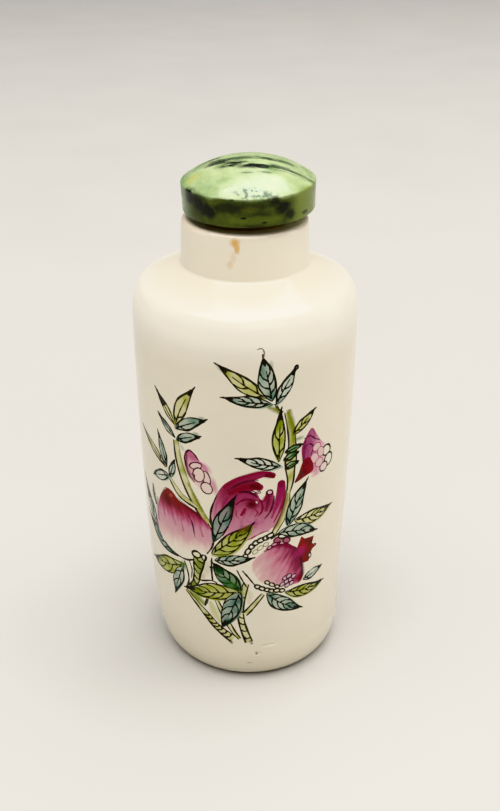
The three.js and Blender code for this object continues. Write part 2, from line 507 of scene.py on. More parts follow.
WASHES = {  # light tone, deep tone, strength
    "teal": (pigment(154, 170, 152), pigment(82, 118, 102), 0.9),
    "deep": (pigment(122, 146, 132), pigment(28, 64, 54), 0.93),
    "mist": (pigment(184, 194, 178), pigment(120, 148, 132), 0.8),
    "green": (pigment(116, 148, 104), pigment(36, 92, 40), 0.9),
    "spring": (pigment(164, 168, 70), pigment(106, 124, 10), 0.94),
    "straw": (pigment(196, 192, 128), pigment(152, 154, 52), 0.88),
    "pine": (pigment(80, 120, 82), pigment(6, 52, 14), 0.96),
}
painting = []
print(len(WASHES), "leaf washes")


# %% Brush helpers
def lay(patches, colour):
    painting.append(([np.asarray(p, float) for p in patches], colour))


def flat(colour, strength):
    def paint(x, y):
        return np.tile([*colour, strength], (len(x), 1))
    return paint


def toned(light, deep, share, strength):
    """Colours between a light and a deep tone. share and strength are numbers or arrays."""
    share = np.clip(share, 0, 1)[:, None]
    colour = np.asarray(light) * (1 - share) + np.asarray(deep) * share
    return np.column_stack([colour, np.broadcast_to(strength, len(colour))])


def stepped(place, stops):
    """A colour scale. Each stop is where it lies, its colour and its strength."""
    where = [s[0] for s in stops]
    channels = [np.interp(place, where, [(*s[1], s[2])[i] for s in stops]) for i in range(4)]
    return np.column_stack(channels)


def uneven(x, y, size, seed):
    """Soft patches between 0 and 1, the way thin colour dries."""
    total = 0
    for k in range(6):
        angle = 1.7 * seed + 2.4 * k
        wave = 2 * math.pi / (size * (0.7 + 0.21 * k))
        total = total + np.sin((x * math.cos(angle) + y * math.sin(angle)) * wave + seed * 3.1 + k * k)
    return np.clip(0.5 + total / 5, 0, 1)


def streaked(x, y, toward, width, seed):
    """Brush streaks that run along a direction, between 0 and 1."""
    lean = math.radians(toward)
    along = x * math.cos(lean) + y * math.sin(lean)
    across = y * math.cos(lean) - x * math.sin(lean)
    return uneven(along / 6, across, width, seed)


def hand(x, y, turn=0):
    """How the painter's hand strays at a place: a fixed number between -1 and 1."""
    return math.sin(12.9 * x + 7.3 * y + 2.1 * turn)


def through(points, closed=False, steps=6):
    """A smooth line through a few points."""
    points = np.asarray(points, float)
    if closed:
        padded = np.vstack([points[-1], points, points[0], points[1]])
    else:
        padded = np.vstack([2 * points[0] - points[1], points, 2 * points[-1] - points[-2]])
    line = []
    for a, b, c, d in zip(padded, padded[1:], padded[2:], padded[3:]):
        for t in np.arange(steps) / steps:
            line.append(0.5 * (2 * b + (c - a) * t + (2 * a - 5 * b + 4 * c - d) * t ** 2
                               + (3 * b - a - 3 * c + d) * t ** 3))
    if not closed:
        line.append(points[-1])
    return np.array(line)


def unit(step):
    return step / np.hypot(*step)


def edges_of(path, widths):
    """The two sides of a stroke along a path. widths are spread evenly from its start to its end."""
    step = np.hypot(*np.diff(path, axis=0).T)
    along = np.concatenate([[0], np.cumsum(step)])
    width = np.interp(along / along[-1], np.linspace(0, 1, len(widths)), widths)
    heading = np.gradient(path, axis=0)
    heading /= np.hypot(*heading.T)[:, None]
    side = np.column_stack([-heading[:, 1], heading[:, 0]]) * width[:, None] / 2
    return path + side, path - side


def brush_line(path, widths, colour=INK, strength=LINE_HIDES):
    """A line of the fine brush. The hand isn't quite steady, so its width wavers."""
    path = np.asarray(path, float)
    beats = np.arange(9)
    waver = 1 + 0.26 * np.sin(beats * 2.3 + path[0, 0] * 5 + path[0, 1] * 3)
    spread = np.interp(beats / 8, np.linspace(0, 1, len(widths)), widths) * waver
    left, right = edges_of(path, np.maximum(spread, THINNEST))
    pieces = []
    for i in range(len(path) - 1):
        pieces += [[left[i], right[i], right[i + 1]], [left[i], right[i + 1], left[i + 1]]]
    lay(pieces, flat(colour, strength))


def draw(points, widths, colour=INK, strength=LINE_HIDES):
    """A brush line through a few points, its widths given in line weights."""
    brush_line(through(points, steps=5), [LINE * w for w in widths], colour, strength)


def bare(outline):
    """Wipes back to the glaze, so that a shape in front hides what lies behind it."""
    lay([outline], lambda x, y: np.zeros((len(x), 4)))


def oval(centre, reach, turn=0, count=14):
    """Points round an ellipse."""
    lean = math.radians(turn)
    angles = np.linspace(0, 2 * math.pi, count + 1)[:-1]
    x, y = reach[0] * np.cos(angles), reach[1] * np.sin(angles)
    return np.column_stack([centre[0] + x * math.cos(lean) - y * math.sin(lean),
                            centre[1] + x * math.sin(lean) + y * math.cos(lean)])


def soft_spot(centre, reach, colour, strength, turn=0):
    """A touch of thin colour with no edge."""
    lean = math.radians(turn)

    def paint(x, y):
        x, y = x - centre[0], y - centre[1]
        along = x * math.cos(lean) + y * math.sin(lean)
        across = y * math.cos(lean) - x * math.sin(lean)
        hides = strength * np.clip(1.5 * (1 - np.hypot(along / reach[0], across / reach[1])), 0, 1)
        return np.column_stack([np.tile(colour, (len(x), 1)), hides])

    lay([oval(centre, reach, turn, 16)], paint)


def soft_stroke(points, widths, colour, strength):
    """A stroke of thin colour that fades towards both sides."""
    path = through(points, steps=5)
    left, right = edges_of(path, widths)
    half = 0.5 * np.hypot(*(left - right).T)
    pieces = []
    for side in (left, right):
        for i in range(len(path) - 1):
            pieces += [[path[i], side[i], side[i + 1]], [path[i], side[i + 1], path[i + 1]]]

    def paint(x, y):
        gaps = np.hypot(x[:, None] - path[:, 0], y[:, None] - path[:, 1])
        fade = np.clip(1.6 * (1 - gaps.min(axis=1) / half[gaps.argmin(axis=1)]), 0, 1)
        return np.column_stack([np.tile(colour, (len(x), 1)), strength * fade])

    lay(pieces, paint)


def streaks(rows, widths, colour, strength):
    """Short soft strokes, each from one place to another: start x, start y, end x, end y."""
    for start_x, start_y, end_x, end_y in rows:
        soft_stroke([(start_x, start_y), (end_x, end_y)], widths, colour, strength)


print("a fine line is", LINE, "mm wide")

# %% [markdown]
# ### A leaf
#
# Most of the painting is leaves of one kind: a pointed lance with a solid dark tip, two heavy outlines, a
# midrib and slanting veins that cut the blade into cells. The wash under them is laid quickly and slips
# past the outline. One function paints them all, from a base, an angle, a length, a width and a wash.


# %% The leaf
WASH_SPILL = 1.07  # the wash is this much larger than the outline
FIRST_VEIN, VEINED, VEIN_REACH, VEIN_LAG = 0.1, 0.72, 0.24, 0.09  # shares of the leaf's length


def blade(base, angle, length, width, bend):
    """A leaf's spine and its two sides, from the base to the tip. A slender one is drawn out to a point."""
    t = np.linspace(0, 1, 19)
    heading = np.radians(angle + bend * (t - 0.5))
    step = np.column_stack([np.cos(heading), np.sin(heading)]) * length / (len(t) - 1)
    spine = np.asarray(base, float) + np.vstack([[0, 0], np.cumsum(step[:-1], axis=0)])
    side = np.column_stack([-np.sin(heading), np.cos(heading)])
    slender = np.interp(width / length, [0.2, 0.42], [1.25, 0.75])
    half = 0.5 * width * np.sin(np.pi * t ** 0.85) ** slender
    half[0] = half[-1] = 0
    sway = 0.15 * hand(*base) + 0.07 * np.sin(9 * t + 5 * hand(*base, 1))
    left, right = half * (1 + sway), half * (1 - sway)
    return t, spine, spine + side * left[:, None], spine - side * right[:, None]


def leaf_wash(base, forward, length, width, wash):
    """Deeper towards both ends and in patches, and a little lighter towards the sides."""
    light, deep, strength = WASHES[wash]
    sideways = np.array([-forward[1], forward[0]])

    def paint(x, y):
        away = np.column_stack([x, y]) - base
        onward = away @ forward / length
        across = np.abs(away @ sideways) / (0.5 * width)
        patch = uneven(x, y, 2.2, base[0] + base[1])
        depth = np.clip((onward - 0.5) / 0.4, 0, 1) + np.clip((0.3 - onward) / 0.3, 0, 1)
        return toned(light, deep, 0.75 * depth + 0.8 * (patch - 0.4) - 0.25 * across,
                     np.clip(strength * (0.8 + 0.3 * patch), 0, 1))

    return paint


def along(line, share):
    """The place at a share of a line, 0 at its start and 1 at its end."""
    shares = np.linspace(0, 1, len(line))
    return np.array([np.interp(share, shares, line[:, i]) for i in (0, 1)])


def vein_pairs(spine, left, right, pairs, tip):
    """Slanting veins, bowed towards the leaf's base. The right one of each pair starts a little later."""
    forward = unit(spine[-1] - spine[0])
    for k in range(pairs):
        for edge, lag in ((left, 0.0), (right, VEIN_LAG)):
            start = FIRST_VEIN + (VEINED - tip) * k / pairs + lag
            root, end = along(spine, start), along(edge, min(start + VEIN_REACH, 0.97))
            outward = unit(edge[9] - spine[9])
            bow = 0.5 * (root + end) + 0.1 * np.hypot(*(end - root)) * (outward - forward)
            draw([root, bow, end], [1.3, 0.65, 1.0])


def leaf(base, angle, length, width, wash, bend, pairs, tip, over=False):
    """tip is the share of the leaf that is solid ink. over lets what lies behind show through its wash."""
    t, spine, left, right = blade(base, angle, length, width, bend)
    outline = np.vstack([left, right[-2:0:-1]])
    if not over:
        bare(outline)
    middle = outline.mean(axis=0)
    forward = unit(spine[-1] - spine[0])
    slip = (0.08 + 0.18 * hand(*base, 2), -0.05 + 0.15 * hand(*base, 3))
    slipped = middle + (outline - middle) * WASH_SPILL + slip
    lay([slipped], leaf_wash(np.asarray(base), forward, length, width, wash))
    press = 1 + 0.3 * hand(*base, 4)
    brush_line(left, [LINE * press * w for w in (0.5, 0.9, 0.8, 1.1, 1.4)])
    brush_line(right, [LINE * (2 - press) * w for w in (0.6, 0.8, 1.0, 0.9, 1.4)])
    brush_line(spine[1:14], [LINE * w for w in (0.9, 0.75, 0.5)])
    vein_pairs(spine, left, right, pairs, tip)
    dark = t > min(1 - tip, 0.93)
    lay([np.vstack([left[dark], right[dark][-2::-1]])], flat(INK, LINE_HIDES))
    flick = forward * min(0.12 * length, 0.8) + 0.12 * hand(*base, 5) * forward[::-1] * (-1, 1)
    brush_line(through([spine[15], spine[-1], spine[-1] + flick], steps=3),
               [LINE * w for w in (1.3, 1.5, 1.0, 1.2, 0.5)])


print("a leaf's spine has", len(blade((0, 0), 0, 6, 2, 0)[1]), "points")

# %% [markdown]
# ### Stems and beads
#
# A stem is two outlines with a thin yellow-green wash between them. Near its foot it is crossed by short
# rungs. Beads are the small white cells with an ink outline that edge the buds and the fruit.


# %% Stems and beads
STEM_SLIP = 0.1  # how far its wash has slipped to the right


def stem(points, widths, wash="straw", rungs=0, rung_from=0.0, sides=(0.8, 0.7)):
    """sides are the weights of the left and the right outline, seen along the stem."""
    path = through(points, steps=7)
    left, right = edges_of(path, widths)
    outline = np.vstack([left, right[::-1]])
    bare(outline)
    light, deep, strength = WASHES[wash]

    def paint(x, y):
        patch = uneven(x, y, 2.6, points[0][0])
        return toned(light, deep, 1.2 * patch - 0.2, strength * (0.7 + 0.3 * patch))

    lay([outline + (STEM_SLIP, 0)], paint)
    for edge, weight in zip((left, right), sides):
        brush_line(edge, [LINE * weight * w for w in (0.7, 1.1, 0.9, 1.2, 1.0)])
    for k in range(rungs):
        share = rung_from + (1 - rung_from) * (k + 0.5 + 0.22 * hand(k, rungs)) / rungs
        at = min(int(share * (len(path) - 1)), len(path) - 2)
        across = left[at] - right[at]
        ahead = unit(path[at + 1] - path[at]) * np.hypot(*across)
        lean = (0.12 + 0.16 * hand(k, 1)) * ahead
        weight = max(sides) * LINE
        brush_line([left[at] + lean, path[at] + 0.22 * ahead, right[at] - lean],
                   [weight * w for w in (1.1, 0.8, 1.3)])


def bead(centre, reach, turn, fill, line, ink=INK):
    """A small cell with an outline. fill is a colour and its strength, or None for bare glaze."""
    ring = oval(centre, reach, turn)
    bare(ring)
    if fill is not None:
        lay([ring], flat(*fill))
    brush_line(np.vstack([ring, ring[:2]]), [line * LINE * w for w in (1, 1.25, 0.8)], ink)


def chain(points, size, fill, line, ink=INK):
    """Beads laid one after the other along a line, each about as long as the gap to the next."""
    points = np.asarray(points, float)
    for k, here in enumerate(points):
        ahead = points[min(k + 1, len(points) - 1)] - points[max(k - 1, 0)]
        turn = math.degrees(math.atan2(ahead[1], ahead[0]))
        bead(here, (size * (1 + 0.12 * math.sin(2.1 * k)), 0.66 * size), turn, fill, line, ink)


print("a bead is drawn through", len(oval((0, 0), (1, 1))), "points")

# %% [markdown]
# ### Fruit and buds
#
# Three fruits are a traditional wish for long life, luck and many children: a peach, a finger citron and a
# pomegranate. Each is an outline with a wash that goes from nearly black crimson through rose to bare
# glaze, broken into streaks by the brush.


# %% The peach
PEACH = [(-11.8, 31.3), (-10.7, 31.0), (-9.8, 30.2), (-8.2, 29.8), (-6.6, 29.1), (-5.4, 28.0), (-4.6, 26.7),
         (-4.4, 25.5), (-4.7, 24.0), (-5.6, 22.5), (-7.2, 21.3), (-9.0, 20.6), (-11.3, 20.8), (-13.5, 21.7),
         (-14.8, 23.2), (-15.0, 25.2), (-14.3, 27.8), (-13.2, 30.0)]
TIP = np.array([-11.6, 31.2])
DOWN_THE_EDGE, INTO_THE_FRUIT = np.array([0.79, -0.61]), np.array([-0.61, -0.79])


def peach():
    """The fruit of long life: dark at its tip and pale where it meets the twig."""
    ring = through(PEACH, closed=True, steps=4)

    def paint(x, y):
        """The tone follows how deep a place lies below the upper right edge, and how far from the tip."""
        away = np.column_stack([x, y]) - TIP
        along, depth = away @ DOWN_THE_EDGE, away @ INTO_THE_FRUIT
        ragged = depth + 0.75 * np.clip(along, 0, 9) + 1.0 * (streaked(x, y, 102, 0.7, 4) - 0.5)
        tone = stepped(ragged, [(2.2, CRIMSON, 0.98), (2.9, WINE, 0.97), (3.6, pigment(158, 40, 80), 0.96),
                                (4.6, pigment(178, 84, 118), 0.94), (5.6, pigment(192, 130, 150), 0.9),
                                (8.2, pigment(200, 146, 154), 0.88), (11.5, PALE_ROSE, 0.6)])
        low = 21.9 + 0.12 * (x + 10) + 0.8 * (streaked(x, y, 95, 0.8, 2) - 0.5)
        tone[:, 3] *= np.clip((y - low) / 2.2, 0, 1)
        return tone

    bare(ring)
    lay([ring], paint)
    soft_spot((-12.0, 29.3), (1.0, 1.5), pigment(78, 0, 4), 0.75, 30)
    soft_stroke([(-14.4, 28.6), (-14.7, 26.6), (-14.5, 24.6)], [0.7, 1.0, 0.5], pigment(104, 44, 84), 0.6)
    streaks([(-13.3, 28.0, -12.8, 26.2), (-11.2, 27.6, -10.6, 25.8), (-9.6, 27.4, -9.2, 25.2),
             (-6.4, 26.9, -6.0, 25.4)], [0.3, 0.6], MAGENTA, 0.6)
    soft_stroke([(-10.4, 30.6), (-8.4, 29.7), (-6.4, 28.6), (-5.2, 27.2)], [0.3, 0.7, 0.6, 0.2], PLUM, 0.7)
    draw([(-13.0, 30.4), (-12.2, 31.2), (-11.2, 31.2), (-10.3, 30.6)], [0.4, 0.6, 0.6, 0.3], WINE, 0.7)
    draw([(-5.2, 27.9), (-4.6, 26.7), (-4.4, 25.5), (-4.7, 24.0), (-5.5, 22.7)], [0.5, 0.9, 1.5, 1.0, 0.8])
    draw([(-6.4, 21.8), (-8.8, 20.6), (-11.3, 20.8), (-13.4, 21.7)], [0.9, 1.3, 1.0, 0.5])
    draw([(-8.2, 28.5), (-7.6, 27.1), (-7.3, 25.0)], [0.3, 1.2, 0.3], PLUM, 0.9)
    soft_spot((-11.2, 30.4), (0.6, 0.4), pigment(192, 92, 92), 0.75, 40)


print(len(PEACH), "points give the peach its outline")

# %% The finger citron
PALM = [(-2.4, 34.3), (-3.7, 33.0), (-4.2, 31.6), (-4.7, 29.9), (-4.7, 27.9), (-3.9, 26.6), (-2.0, 25.8),
        (0.2, 25.7), (1.7, 26.6), (2.6, 27.0), (3.5, 27.2), (4.4, 28.9), (4.6, 30.6), (3.7, 31.8),
        (2.2, 32.1), (1.5, 33.2), (-0.4, 34.3)]
FINGERS = [  # points from the root to the tip, widths
    ([(-3.3, 32.9), (-2.3, 34.0), (-0.8, 35.0), (1.2, 35.8), (2.6, 36.1), (3.7, 35.75)],
     [0.9, 1.4, 1.5, 1.3, 1.0, 0.8]),
    ([(-1.6, 33.2), (0.2, 34.2), (1.2, 34.4), (1.9, 34.1)], [1.8, 1.9, 1.7, 1.1]),
    ([(2.8, 29.6), (3.1, 31.4), (3.3, 33.0)], [1.2, 1.5, 1.1]),
    ([(3.4, 27.6), (4.3, 30.0), (4.75, 32.2), (4.9, 34.3)], [1.2, 1.4, 1.3, 1.1]),
]
DEEP_WINE, BLOOD = pigment(104, 4, 40), pigment(86, 0, 6)


def citron():
    """One mass of colour, palm and fingers together. The dark strokes on it part the fingers."""
    mass = [through(PALM, closed=True, steps=4)]
    for points, widths in FINGERS:
        path = through(points)
        left, right = edges_of(path, widths)
        mass += [np.vstack([left, right[::-1]]), oval(path[-1], (0.5 * widths[-1], 0.5 * widths[-1]))]

    def flesh(x, y):
        down = (36.0 - y + np.clip(-2.4 - x, 0, 3)) / 10 + 0.1 * (streaked(x, y, 66, 0.8, 9) - 0.5)
        return stepped(down, [(0.0, pigment(132, 20, 62), 0.97), (0.2, WINE, 0.97),
                              (0.36, pigment(142, 40, 82), 0.96), (0.52, pigment(164, 66, 102), 0.95),
                              (0.68, pigment(178, 104, 128), 0.93), (0.84, pigment(190, 124, 146), 0.92),
                              (1.05, pigment(204, 154, 160), 0.85)])

    for patch in mass:
        bare(patch)
    lay(mass, flesh)
    soft_stroke([(-2.9, 33.9), (-1.0, 35.4), (1.0, 36.2), (2.6, 36.4), (3.8, 35.9)], [0.7, 0.8, 0.8, 0.7],
                WINE, 0.95)
    soft_stroke([(2.6, 35.9), (3.5, 35.7), (4.0, 35.5)], [0.8, 1.1, 0.7], BLOOD, 0.9)
    soft_stroke([(-2.4, 33.5), (-0.8, 34.7), (0.8, 35.2), (1.8, 35.2)], [0.3, 0.6, 0.6, 0.3], PLUM, 0.85)
    soft_stroke([(-2.2, 33.0), (-0.8, 33.8), (0.6, 34.3), (1.7, 34.2)], [1.0, 1.3, 1.5, 1.0],
                pigment(118, 2, 26), 0.95)
    soft_stroke([(0.6, 34.4), (1.5, 34.3), (2.1, 33.9)], [1.0, 1.5, 1.0], BLOOD, 0.95)
    bead((1.0, 33.42), (0.42, 0.16), -12, (PALE_ROSE, 0.9), 0.45, PLUM)
    bead((1.75, 33.3), (0.34, 0.15), 10, (PALE_ROSE, 0.9), 0.45, PLUM)
    draw([(-0.8, 33.4), (0.2, 33.5), (1.1, 33.1), (1.6, 32.6)], [0.8, 1.3, 1.3, 0.6], PLUM)
    soft_stroke([(-1.4, 32.6), (0.0, 32.9), (1.0, 32.6)], [0.4, 0.7, 0.4], pigment(160, 62, 104), 0.8)
    draw([(-1.2, 31.4), (-0.6, 32.0), (0.3, 32.3), (1.3, 32.1)], [0.5, 1.0, 1.2, 0.6], DEEP_WINE)
    soft_stroke([(-3.2, 30.0), (-2.8, 31.6), (-2.0, 32.8)], [0.4, 0.9, 0.4], WINE, 0.5)
    soft_spot((0.9, 31.5), (1.15, 1.0), BLOOD, 1.0, -10)
    bead((1.55, 31.8), (0.2, 0.26), 20, (PALE_ROSE, 0.85), 0.35, PLUM)
    draw([(1.9, 32.2), (2.3, 31.4), (2.3, 30.4), (1.7, 29.5)], [0.7, 1.1, 1.1, 0.4], DEEP_WINE, 0.9)
    draw([(1.3, 30.8), (1.7, 30.1), (1.3, 29.5)], [0.4, 0.9, 0.3], WINE, 0.8)
    draw([(0.0, 30.9), (-0.2, 30.3), (-0.6, 29.7)], [1.4, 2.0, 1.1], WINE, 0.95)
    draw([(-1.1, 30.6), (-1.2, 29.8), (-0.8, 29.2)], [0.4, 0.9, 0.3], WINE, 0.6)
    soft_stroke([(3.2, 32.9), (3.1, 31.6), (2.8, 30.2)], [1.0, 1.2, 0.6], DEEP_WINE, 0.9)
    soft_stroke([(2.2, 31.6), (2.6, 32.3), (2.9, 32.7)], [0.4, 0.8, 0.4], WINE, 0.9)
    bead((3.3, 33.2), (0.42, 0.36), 0, (PALE_ROSE, 0.75), 0.8, PLUM)
    draw([(3.95, 32.6), (3.8, 31.4), (3.4, 30.1), (2.6, 29.0)], [0.7, 1.2, 1.0, 0.4], PLUM, 0.9)
    soft_stroke([(4.9, 34.6), (4.8, 33.2), (4.4, 31.2), (3.6, 29.0)], [1.0, 1.3, 1.0, 0.5],
                pigment(142, 24, 76), 0.9)
    soft_spot((4.9, 34.2), (0.65, 0.7), DEEP_WINE, 0.85)
    draw([(5.45, 34.0), (5.4, 32.4), (4.9, 30.4), (3.9, 28.2)], [0.5, 1.2, 1.4, 0.5], WINE, 0.85)
    soft_stroke([(0.2, 28.8), (1.4, 28.4), (2.6, 28.6)], [0.5, 0.9, 0.5], pigment(178, 92, 136), 0.6)
    draw([(-3.6, 33.1), (-4.2, 31.6), (-4.7, 29.9), (-4.75, 28.2), (-4.2, 27.0)], [0.4, 0.8, 1.2, 1.3, 1.0])
    draw([(3.3, 27.0), (2.6, 26.9), (1.7, 26.5), (0.7, 25.9), (-0.4, 25.5)], [0.5, 0.8, 0.8, 0.5], WINE, 0.9)
    streaks([(-3.8, 31.6, -4.2, 29.0), (-2.4, 29.4, -2.6, 27.4), (-0.4, 28.9, -0.6, 27.0),
             (1.6, 29.2, 1.3, 27.6), (-1.8, 32.4, -2.6, 31.0)], [0.5, 0.9], pigment(158, 66, 116), 0.5)


print(len(FINGERS), "fingers on the citron")

# %% The pomegranate
POMEGRANATE = [(0.9, 21.2), (1.5, 22.6), (2.9, 23.8), (4.2, 24.8), (5.6, 24.7), (6.8, 23.8), (7.9, 22.8),
               (8.6, 21.0), (8.8, 19.2), (8.9, 17.6), (8.2, 16.8), (6.6, 17.0), (5.2, 17.2), (3.9, 17.6),
               (2.6, 18.1), (1.5, 19.5)]
CROWN = [(7.6, 23.0), (8.3, 24.8), (8.9, 24.2), (9.7, 24.1), (10.6, 24.0), (10.3, 22.9), (10.9, 22.3),
         (10.2, 21.5), (10.3, 20.7), (9.8, 20.0), (8.9, 20.0), (8.2, 20.8)]
SEEDS = [(5.9, 18.4), (6.5, 18.6), (6.8, 17.9), (7.3, 18.3), (6.1, 17.7), (7.0, 17.2), (5.5, 17.4),
         (6.3, 17.0)]


def pomegranate():
    """A ripe fruit with a red crown, strings of beads above and below, and a cluster of seeds."""
    body = through(POMEGRANATE, closed=True, steps=4)

    def flesh(x, y):
        ripe = (x - 1.0) * 0.1 + (y - 17) * 0.044 + 0.16 * (streaked(x, y, 58, 0.7, 2) - 0.5)
        return stepped(ripe, [(0.1, PALE_ROSE, 0.3), (0.22, pigment(206, 158, 160), 0.8),
                              (0.42, pigment(198, 142, 152), 0.88), (0.6, pigment(194, 110, 136), 0.93),
                              (0.7, pigment(170, 78, 108), 0.95), (0.8, pigment(138, 38, 80), 0.97),
                              (0.92, pigment(106, 8, 44), 0.97), (1.1, PLUM, 0.97)])

    bare(CROWN)
    lay([CROWN], lambda x, y: toned(pigment(146, 6, 12), pigment(84, 0, 4), uneven(x, y, 2.0, 5), 0.98))
    bare(body)
    lay([body], flesh)
    soft_spot((8.2, 22.2), (1.4, 1.2), MAGENTA, 0.85, 20)
    soft_stroke([(2.6, 23.6), (4.0, 24.3), (5.6, 24.2), (6.9, 23.3)], [0.4, 1.1, 1.3, 0.6],
                pigment(108, 6, 34), 0.9)
    streaks([(6.0, 23.6, 4.8, 21.6), (7.0, 22.8, 6.0, 20.8), (7.8, 21.6, 7.2, 19.4)], [0.7, 0.4], WINE, 0.6)
    soft_stroke([(8.3, 21.4), (8.7, 19.6), (8.8, 18.0), (8.2, 17.0)], [0.4, 0.8, 1.0, 0.5], PLUM, 0.9)
    soft_spot((8.3, 17.6), (0.7, 0.9), CRIMSON, 0.9)
    draw([(-0.4, 20.5), (0.4, 19.4), (1.2, 18.2), (1.7, 17.6)], [0.8, 1.1, 0.9, 0.7])
    chain([(1.4, 23.7), (2.1, 24.3), (2.9, 24.8)], 0.45, (STRAW, 0.3), 0.3)
    chain([(0.0, 22.9), (0.4, 23.8), (0.9, 24.6), (1.5, 25.2), (2.2, 25.6), (2.9, 25.9), (3.5, 26.2)],
          0.52, None, 1.0)
    for centre, reach, turn in (((4.6, 25.3), (0.65, 0.45), 25), ((5.9, 24.9), (0.6, 0.45), -20)):
        bead(centre, reach, turn, (pigment(150, 30, 84), 0.85), 0.7, PLUM)
    bead((5.4, 25.8), (0.75, 0.4), 0, None, 0.9)
    draw([(3.5, 25.7), (4.1, 26.0), (4.9, 26.3), (6.0, 26.1), (6.6, 25.3)], [1.8, 1.8, 0.9, 0.7, 0.5])
    chain([(3.4, 24.2), (4.1, 24.6), (5.2, 24.6)], 0.38, (ROSE, 0.8), 0.6, PLUM)
    soft_spot((6.5, 17.8), (1.4, 1.0), pigment(128, 24, 84), 0.8)
    for centre in SEEDS:
        bead(centre, (0.42, 0.33), 30, (LILAC, 0.6), 0.6, PLUM)
    chain([(3.2, 18.2), (3.9, 17.7), (4.7, 17.2)], 0.42, (STRAW, 0.3), 0.8)
    chain([(1.8, 17.6), (2.5, 17.2), (3.2, 16.9), (3.9, 16.6), (4.7, 16.5), (5.5, 16.3)],
          0.48, (STRAW, 0.3), 1.0)
    bead((10.0, 20.9), (0.28, 0.4), 20, (PALE_ROSE, 0.7), 0.6)
    draw([(10.6, 22.0), (11.1, 22.3), (10.7, 22.6)], [0.7, 1.1, 0.5])


print(len(SEEDS), "seeds show in the pomegranate")


# %% Two buds
def left_bud():
    """A hanging bud, darkest at its top, with four loose petals drawn on it."""
    ring = through([(-7.7, 38.7), (-6.9, 38.4), (-6.2, 37.6), (-5.2, 36.8), (-4.7, 35.4), (-4.3, 34.0),
                    (-4.3, 32.9), (-5.3, 32.6), (-6.4, 33.4), (-7.6, 34.4), (-8.2, 35.9), (-8.3, 37.7)],
                   closed=True, steps=5)

    def petals(x, y):
        down = (38.6 - y - 0.4 * (x + 7.8)) / 4.6 + 0.25 * (uneven(x, y, 1.5, 3) - 0.5)
        return stepped(down, [(0.0, pigment(176, 80, 122), 0.93), (0.25, pigment(196, 120, 150), 0.88),
                              (0.7, pigment(206, 148, 162), 0.7), (1.3, PALE_ROSE, 0.45)])

    bare(ring)
    lay([ring], petals)
    soft_stroke([(-8.0, 38.0), (-8.1, 36.4), (-7.7, 35.0), (-6.9, 34.0)], [0.5, 0.9, 0.9, 0.4],
                pigment(92, 14, 44), 0.9)
    soft_spot((-4.1, 34.0), (0.5, 1.8), ROSE, 0.8, 12)
    soft_spot((-5.1, 36.6), (0.6, 1.2), ROSE, 0.6, 40)
    draw([(-8.2, 36.0), (-8.35, 37.6), (-7.7, 38.7), (-6.9, 38.4), (-6.2, 37.5)],
         [0.5, 0.9, 1.1, 1.0, 0.6], PLUM)
    for centre, reach, turn, strength in (
            ((-6.7, 36.6), (0.95, 0.5), 18, 0.55), ((-5.2, 35.0), (0.55, 1.1), 12, 0.5),
            ((-6.3, 35.3), (0.85, 1.1), -8, 0.4), ((-5.2, 33.5), (0.8, 0.9), 30, 0.35)):
        bead(centre, reach, turn, (PALE_ROSE, strength), 0.65, PLUM)
    draw([(-7.4, 35.2), (-6.9, 35.1), (-7.0, 34.6)], [0.5, 0.8, 0.4], PLUM)


def right_bud():
    """An opening bud in a dark cup, edged with white beads on the right."""
    petals = through([(8.2, 35.0), (7.9, 37.1), (7.7, 38.9), (8.2, 40.3), (9.2, 41.6), (10.1, 40.4),
                      (10.9, 39.2), (12.0, 38.0), (12.7, 36.6), (12.6, 35.0), (11.2, 34.7), (9.8, 34.6)],
                     closed=True, steps=5)

    def blush(x, y):
        out = (x - 7.6 + 0.2 * (38 - y)) / 4.2 + 0.25 * (streaked(x, y, 100, 0.8, 7) - 0.5)
        return stepped(out, [(0.0, pigment(140, 40, 88), 0.95), (0.3, pigment(152, 58, 108), 0.94),
                             (0.55, pigment(184, 104, 142), 0.88), (0.85, pigment(202, 146, 160), 0.75),
                             (1.3, PALE_ROSE, 0.4)])

    bare(petals)
    lay([petals], blush)
    bead((12.1, 37.2), (0.85, 0.8), -40, None, 1.0)
    bead((12.6, 35.6), (0.8, 1.0), -15, None, 0.95)
    bead((11.7, 34.8), (0.75, 0.7), 30, (PALE_ROSE, 0.4), 0.8)
    draw([(8.0, 40.3), (9.0, 40.5), (9.7, 39.9), (10.7, 39.3)], [0.5, 0.9, 0.6], PLUM, 0.85)
    draw([(8.0, 38.9), (8.9, 39.3), (9.6, 38.6), (9.2, 37.4)], [0.4, 0.9, 0.7], PLUM, 0.85)
    soft_stroke([(8.3, 40.4), (8.1, 38.6), (8.1, 36.8)], [0.4, 0.8, 0.6], pigment(104, 12, 60), 0.8)
    for centre, reach in (((10.2, 38.4), (0.7, 0.6)), ((9.9, 36.8), (0.7, 0.8)), ((11.0, 37.4), (0.6, 0.8)),
                          ((10.8, 35.8), (0.7, 0.7))):
        bead(centre, reach, 20, (pigment(196, 124, 154), 0.45), 0.4, MAGENTA)
    cup = through([(6.8, 33.9), (7.4, 35.3), (8.0, 36.9), (8.9, 37.3), (9.6, 36.3), (9.8, 35.2), (9.4, 34.8),
                   (8.2, 34.4)], closed=True, steps=4)
    lay([cup], lambda x, y: toned(pigment(132, 8, 22), pigment(62, 0, 4),
                                  0.3 + 0.28 * (8.4 - x) + 0.6 * (uneven(x, y, 1.6, 3) - 0.4), 0.97))
    soft_spot((10.3, 34.3), (1.1, 0.6), ROSE, 0.7, 10)


print("two buds: one hangs closed, one opens")

